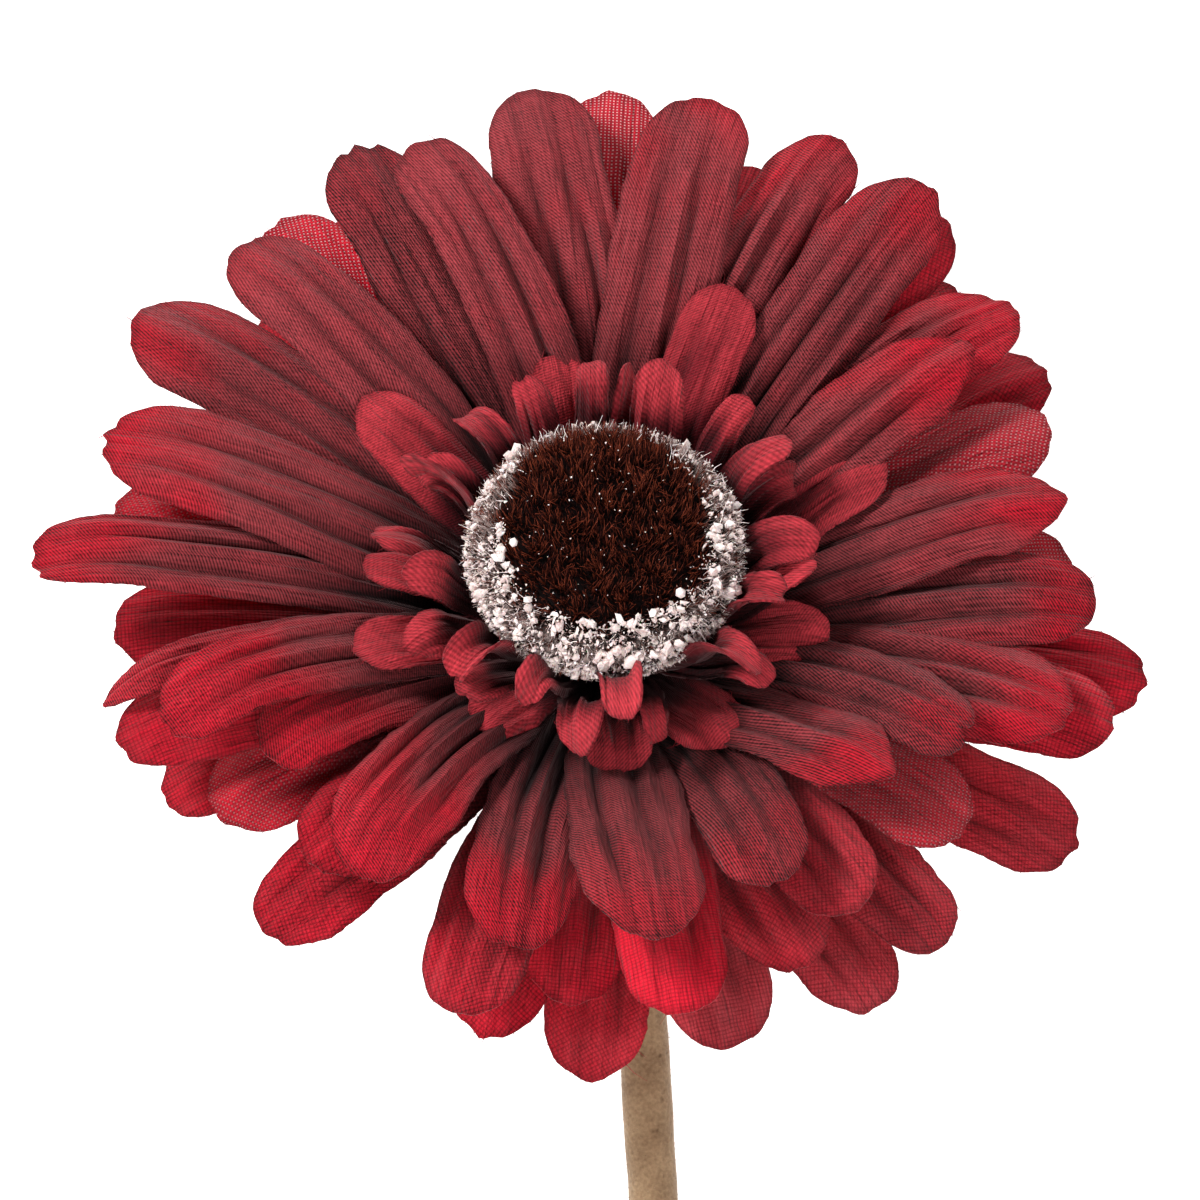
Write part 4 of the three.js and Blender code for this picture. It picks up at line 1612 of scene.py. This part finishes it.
@dataclass(frozen=True)
class Studio:
    """Pale floor, four soft boxes, an even surround, and the camera straight above the flower."""

    camera_height: float = 1.5
    frame_width: float = 0.120
    aim_right: float = -0.0005
    aim_up: float = -0.0025
    sensor: float = 36.0
    surround: float = 0.14
    boxes: tuple = (
        ("key box", (-0.90, 0.72, 0.90), 0.42, 23.5), ("right box", (0.95, 0.40, 0.75), 0.5, 3.0),
        ("front box", (-0.15, -1.0, 0.70), 0.5, 4.6), ("top box", (0.10, -0.45, 1.20), 0.45, 8.8))

    def softbox(self, name: str, place: tuple, size: float, power: float) -> None:
        """Adds a square area light that faces the flower.

        Args:
            name: of the light.
            place: in metres from the flower's centre.
            size: side in metres.
            power: in watts.
        """
        data = bpy.data.lights.new(name, "AREA")
        data.size, data.energy = size, power
        light = bpy.data.objects.new(name, data)
        bpy.context.scene.collection.objects.link(light)
        centre = HEAD.centre() * MM
        back = unit(np.array(place, dtype=float))
        light.location = tuple(centre + np.array(place))
        side = unit(np.cross([0.0, 0.0, 1.0], back))
        above = np.cross(back, side)
        turn = np.stack([side, above, back], axis=-1)
        light.rotation_mode = "QUATERNION"
        light.rotation_quaternion = Matrix([list(map(float, row)) for row in turn]).to_quaternion()
        light.visible_camera = False

    def floor(self) -> None:
        """Adds the floor: a wide plane, pale, with a faint grain."""
        mesh = bpy.data.meshes.new("floor")
        reach = 3.0
        mesh.from_pydata([(-reach, -reach, 0), (reach, -reach, 0), (reach, reach, 0),
                          (-reach, reach, 0)], [], [(0, 1, 2, 3)])
        plane = bpy.data.objects.new("floor", mesh)
        bpy.context.scene.collection.objects.link(plane)
        bench = Bench("floor paper")
        place = bench.add("TexCoord").outputs["Object"]
        base = bench.mix(bench.noise(place, 30.0), (0.97, 0.97, 0.97, 1.0), (1.0, 1.0, 1.0, 1.0))
        paper = bench.add("BsdfPrincipled", {
            "Base Color": base, "Roughness": 0.9, "Specular IOR Level": 0.0,
            "Emission Color": (1.0, 1.0, 1.0, 1.0), "Emission Strength": 0.75})
        mesh.materials.append(bench.finish(paper.outputs[0]))

    def build(self) -> None:
        """Sets the light, the floor and the camera."""
        scene = bpy.context.scene
        world = bpy.data.worlds.new("surround")
        world.use_nodes = True
        background = world.node_tree.nodes["Background"]
        background.inputs["Color"].default_value = (1.0, 1.0, 1.0, 1.0)
        background.inputs["Strength"].default_value = self.surround
        scene.world = world
        scene.view_settings.view_transform = "Standard"
        for name, place, size, power in self.boxes:
            self.softbox(name, place, size, power)
        self.floor()
        data = bpy.data.cameras.new("camera")
        camera = bpy.data.objects.new("camera", data)
        scene.collection.objects.link(camera)
        centre = HEAD.centre() * MM
        camera.location = (centre[0] + self.aim_right, centre[1] + self.aim_up, self.camera_height)
        data.sensor_width = self.sensor
        data.lens = self.sensor * (self.camera_height - centre[2]) / self.frame_width
        data.clip_start, data.clip_end = 0.01, 20.0
        scene.camera = camera


# ---------------------------------------------------------------------------------------------
# The flower's petals, wheel by wheel from the top down.

# The tone of each petal is partly painted light: raised on petals that the light falls on, lowered
# on those in shade.
FIRST = [
    Petal(11, 7, -4, 0, 0, Pleat.PAIR, Tip.POINTED, red=1.0, red_from=0.82, cup=-20, tone=0.9),
    Petal(34, 32, -7, 0.5, -1, Pleat.DEEP_PAIR, Tip.POINTED, red=0.95, red_from=0.78, roll=10),
    Petal(55, 52.5, 2.6, 0, 0, Pleat.THREE, red=0.85, red_from=0.86, cup=-24, tone=0.88),
    Petal(82, 79, 3.2, 0, 1, Pleat.PAIR, red=0.75, red_from=0.92, tone=1.05),
    Petal(100, 112.5, -0.3, 1.5, -1.5, Pleat.PAIR, red=0.12, red_from=0.95, tone=1.15),
    Petal(130, 136.8, 0.6, 0, -1, Pleat.PAIR, red=0.3, red_from=0.92, tone=1.12),
    Petal(162, 166, 1.3, 0.5, 0, Pleat.PAIR, red=0.95, red_from=0.86, tone=1.1),
    Petal(191, 203, -2.5, 1, -2, Pleat.PAIR, red=0.95, red_from=0.62, hook=43),
    Petal(226, 236, -6.5, 2, 0.5, Pleat.FAN, red=0.95, red_from=0.60, hook=44),
    Petal(272, 276.5, -5.6, 3.8, 1.5, Pleat.PAIR, red=0.7, red_from=0.80, hook=34, tone=0.84),
    Petal(313, 317.5, -12, 1, -2, Pleat.PAIR, Tip.POINTED, red=0.95, red_from=0.80, tone=0.86),
    Petal(338, 328, -8, 2, -2, Pleat.PAIR, Tip.NOTCHED, red=0.8, red_from=0.86, tone=0.68),
]

SECOND = [
    Petal(357, 355, -2, 0.5, -0.5, Pleat.DEEP_PAIR, red=1.0, red_from=0.84, tone=0.72),
    Petal(45, 36, -0.5, 0.5, 0, Pleat.THREE, red=0.95, red_from=0.80, roll=-8),
    Petal(73, 64.5, 3.4, 0, -0.5, Pleat.THREE, red=0.9, red_from=0.88, cup=-22),
    Petal(91, 98, 4.2, 0.5, 1, Pleat.PAIR, red=0.3, red_from=0.97, tone=1.12),
    Petal(117, 118, 3.8, -0.8, -0.5, Pleat.PAIR, red=0.45, red_from=0.93, tone=0.78),
    Petal(144, 149, 4, 0, 0.5, Pleat.PAIR, red=0.8, red_from=0.88, tone=0.95),
    Petal(173, 180, 6, 2.5, -2.5, Pleat.PAIR, red=0.95, red_from=0.80, tone=0.95),
    Petal(186, 195, 1.5, -0.5, -4, Pleat.RIB, Tip.POINTED, red=0.7, red_from=0.72, cup=-35,
          hook=69, thin=0.35),
    Petal(201, 210, -12, -2, -2, Pleat.RIB, Tip.BLUNT, red=0.95, red_from=0.62),
    Petal(251, 258, -7.6, 1.5, 0, Pleat.DEEP_PAIR, red=1.0, red_from=0.76, hook=38, tone=0.86),
    Petal(302, 295, -10.9, 3, -0.5, Pleat.PAIR, red=0.5, red_from=0.80, tone=0.74),
    Petal(345, 340, -2, 0.5, 1, Pleat.DEEP_PAIR, red=1.0, red_from=0.80, tone=0.92),
]

THIRD = [
    Petal(90, 89, 5.2, 0, 0, Pleat.RIB, red=1.0, red_from=0.45, sheer=1.0, tone=1.1),
    Petal(128, 129, 1.5, 0, -0.5, Pleat.RIB, red=1.0, red_from=0.5, sheer=0.8, tone=1.1),
    Petal(167, 170, -2, 0, -1, Pleat.PAIR, red=0.9, red_from=0.6, sheer=0.25),
    Petal(196, 200, -0.5, -1, -1, Pleat.RIB, red=0.95, red_from=0.55),
    Petal(224, 228, -9, 0, 0, Pleat.PAIR, red=0.95, red_from=0.55, tone=0.9),
    Petal(252, 253, -2, -0.5, -0.5, Pleat.PAIR, red=0.8, red_from=0.55, tone=0.9),
    Petal(280, 279.5, -3.5, 0, 0.5, Pleat.PAIR, red=1.0, red_from=0.5, tone=1.5),
    Petal(306, 304, -7.5, 1, -0.5, Pleat.PAIR, red=0.6, red_from=0.6, tone=1.1),
    Petal(325, 322, -7, 0, 0, Pleat.RIB, red=0.7, red_from=0.62, sheer=0.35),
    Petal(344, 342, 1, 0, 0, Pleat.PAIR, red=0.95, red_from=0.6),
    Petal(24, 22, -4, 0, 0, Pleat.RIB, red=0.75, red_from=0.55, sheer=0.55),
    Petal(54, 51, 2, 0, -0.5, Pleat.PAIR, red=0.95, red_from=0.66),
]

FOURTH = [
    Petal(74, 73, 3, 0.5, 0, Pleat.RIB, red=0.8, red_from=0.6),
    Petal(50, 47, 1.5, 0, 0, Pleat.PAIR, red=0.95, red_from=0.55),
    Petal(33, 32, 2.5, 0.5, 0, Pleat.PAIR, red=0.95, red_from=0.6),
    Petal(352, 351, 4.8, 0.5, 0, Pleat.PAIR, red=1.0, red_from=0.55, tone=1.1),
    Petal(313, 312, 0.5, 0, -0.5, Pleat.PAIR, red=0.5, red_from=0.6, tone=0.95),
    Petal(298, 296, -5, 0.5, -0.5, Pleat.PAIR, red=0.6, red_from=0.6, tone=1.2),
    Petal(266, 265.5, -5.5, 0.5, 0, Pleat.PAIR, red=0.9, red_from=0.55, tone=1.25),
    Petal(229, 227, -0.5, -0.5, -0.5, Pleat.PAIR, red=0.95, red_from=0.55, tone=0.9),
    Petal(208, 210, -5, 0, 0, Pleat.PAIR, red=0.95, red_from=0.5, sheer=0.3),
    Petal(181, 182, -0.5, 0, -1, Pleat.RIB, red=0.9, red_from=0.5),
    Petal(136, 136.5, -2, 0.5, -0.5, Pleat.PAIR, red=0.8, red_from=0.5),
    Petal(119, 120, 3.5, 0, -0.5, Pleat.RIB, red=0.9, red_from=0.5),
]

FIFTH = [
    Petal(11, 10, -0.5, 0, -0.5, Pleat.RIB, red=0.9, red_from=0.5, sheer=0.5),
    Petal(60, 60, 0, -1.5, 0), Petal(90, 90, -1, 1, 0), Petal(120, 120, 0, -1.5, 0),
    Petal(149, 149, -3, 0, 0),
    Petal(185, 186, -3, 0, -1, Pleat.RIB, red=0.9, red_from=0.5, sheer=0.3),
    Petal(201, 202, -1, 0, -0.5, Pleat.RIB, red=0.9, red_from=0.5),
    Petal(254, 255, -2.5, 0, -0.5, Pleat.RIB, red=0.95, red_from=0.45, tone=1.1),
    Petal(270, 268.5, 0.5, -1, 0, Pleat.PAIR, red=0.7, red_from=0.55, tone=1.35),
    Petal(287, 285.5, -1, 0, 0, Pleat.PAIR, red=0.3, red_from=0.7, tone=1.35),
    Petal(304, 303, 1.4, 1, -0.5, Pleat.PAIR, red=0.35, red_from=0.6, tone=1.35),
    Petal(334, 333.5, 4, -1, 0, Pleat.PAIR, red=0.6, red_from=0.6, tone=1.15),
]

TONGUES = [
    Petal(70, 68, 10, 3.5, 1.2, Pleat.PAIR, red=0.75, red_from=0.62, cup=-26, hook=14),
    Petal(102, 101, 2, 0, -1, Pleat.RIB, red=0.95, red_from=0.45, cup=11),
    Petal(142, 141, 7, 2.5, 1, Pleat.PAIR, red=0.9, red_from=0.62, cup=-22),
    Petal(173, 175, 0, 0, -1.5, Pleat.RIB, red=0.9, red_from=0.5, roll=22),
    Petal(200, 198, 2, 1, -1, Pleat.RIB, red=0.95, red_from=0.5, cup=13),
    Petal(230, 231, -4.5, -3, -0.5, Pleat.RIB, red=0.9, red_from=0.4, roll=-18),
    Petal(273, 274, -3, 3.5, 0.5, Pleat.THREE, Tip.BLUNT, red=0.8, red_from=0.55, hook=96,
          hook_from=0.66, tone=0.82),
    Petal(305, 306, -2.5, -0.8, 0.5, Pleat.RIB, red=0.9, red_from=0.45, hook=47),
    Petal(344, 345, -1, -0.6, -0.5, Pleat.RIB, red=0.95, red_from=0.45, roll=24, cup=20),
    Petal(24, 24, 6.5, 2, 0.5, Pleat.PAIR, red=0.9, red_from=0.7, roll=-14, tone=0.85),
]


def flower() -> list[PetalWheel]:
    """The eight cloth wheels from the tuft down, each named after its plain solid.

    Returns:
        The wheels, not yet built.
    """
    bright, plum = colour(170, 18, 36), colour(132, 48, 53)
    # shade: the near-black of painted shade at the roots (partly the cloth's own dark dye), in the
    # grooves and along the edges.
    shade = colour(24, 6, 8)
    top = DyedCloth("plum cloth", bright, plum, shade, weave=Weave.TWILL, warp=0.32, weft=0.40,
                    contrast=1.25, sheen=0.11, through=0.05)
    under = DyedCloth("red cloth", bright, colour(138, 52, 57), shade, warp=0.36, weft=0.40,
                      relief=0.07, contrast=1.0)
    # The florets' third colour is their painted shade, a dark red at their roots.
    small = DyedCloth("floret cloth", colour(174, 48, 57), colour(104, 16, 27), colour(50, 6, 12),
                      weave=Weave.TWILL, warp=0.31, weft=0.40, relief=0.06, contrast=0.65,
                      through=0.04)
    return [
        CollarWheel("floret_wheel_inner", -9.5, 17.3, 6.2, floret_ring(7, 3, 4.2), small,
                    "floret_cloth", "floret_wheel_outer", 1, arch=-19.0),
        CollarWheel("floret_wheel_outer", -10.5, 20.0, 3.4, floret_ring(22, 4, 2.6), small,
                    "floret_cloth", "tongue_wheel", 2, arch=-10.0),
        CollarWheel("tongue_wheel", -11.5, 24, -0.267, TONGUES, small,
                    "floret_cloth", "petal_wheel_1", 3, width=7.0, rows=56, columns=23, fray=20,
                    arch=5.0, root_dye_and_shade_span=(0.30, 0.66)),
        PetalWheel("petal_wheel_1", -13.3, 50, 7, FIRST, top, "plum_cloth", "petal_wheel_2", 4),
        PetalWheel("petal_wheel_2", -14.3, 51, 3.5, SECOND, top, "plum_cloth", "petal_wheel_3", 5),
        PetalWheel("petal_wheel_3", -15.3, 52, 0, THIRD, under, "red_cloth", "petal_wheel_4", 6),
        PetalWheel("petal_wheel_4", -16.3, 50, -6, FOURTH, under, "red_cloth", "petal_wheel_5", 7),
        PetalWheel("petal_wheel_5", -17.3, 49, -12, FIFTH, under, "red_cloth", "calyx_cup", 8),
    ]


def dress_carried_over() -> None:
    """Gives the CAD nodes that stay their finishes."""
    dark = MouldedPlastic("dark plastic", colour(58, 34, 27), colour(78, 50, 40))
    plastic = dark.material()
    finishes = {"tuft_cup": plastic, "threading_peg": plastic, "stem_wire": DrawnSteel().material()}
    for name, finish in finishes.items():
        node = bpy.data.objects[name]
        node.data.materials.clear()
        node.data.materials.append(finish)
        LOG.info("%s: dressed", name)


def main() -> None:
    """Builds the flower from the tuft down, then the studio."""
    logging.basicConfig(level=logging.INFO, format="%(name)s: %(message)s")
    tuft = FibreTuft()
    tuft.build()
    Frost(tuft).build()
    for wheel in flower():
        wheel.build()
    Calyx().build()
    Stem().build()
    dress_carried_over()
    Studio().build()


if __name__ == "__main__":
    main()
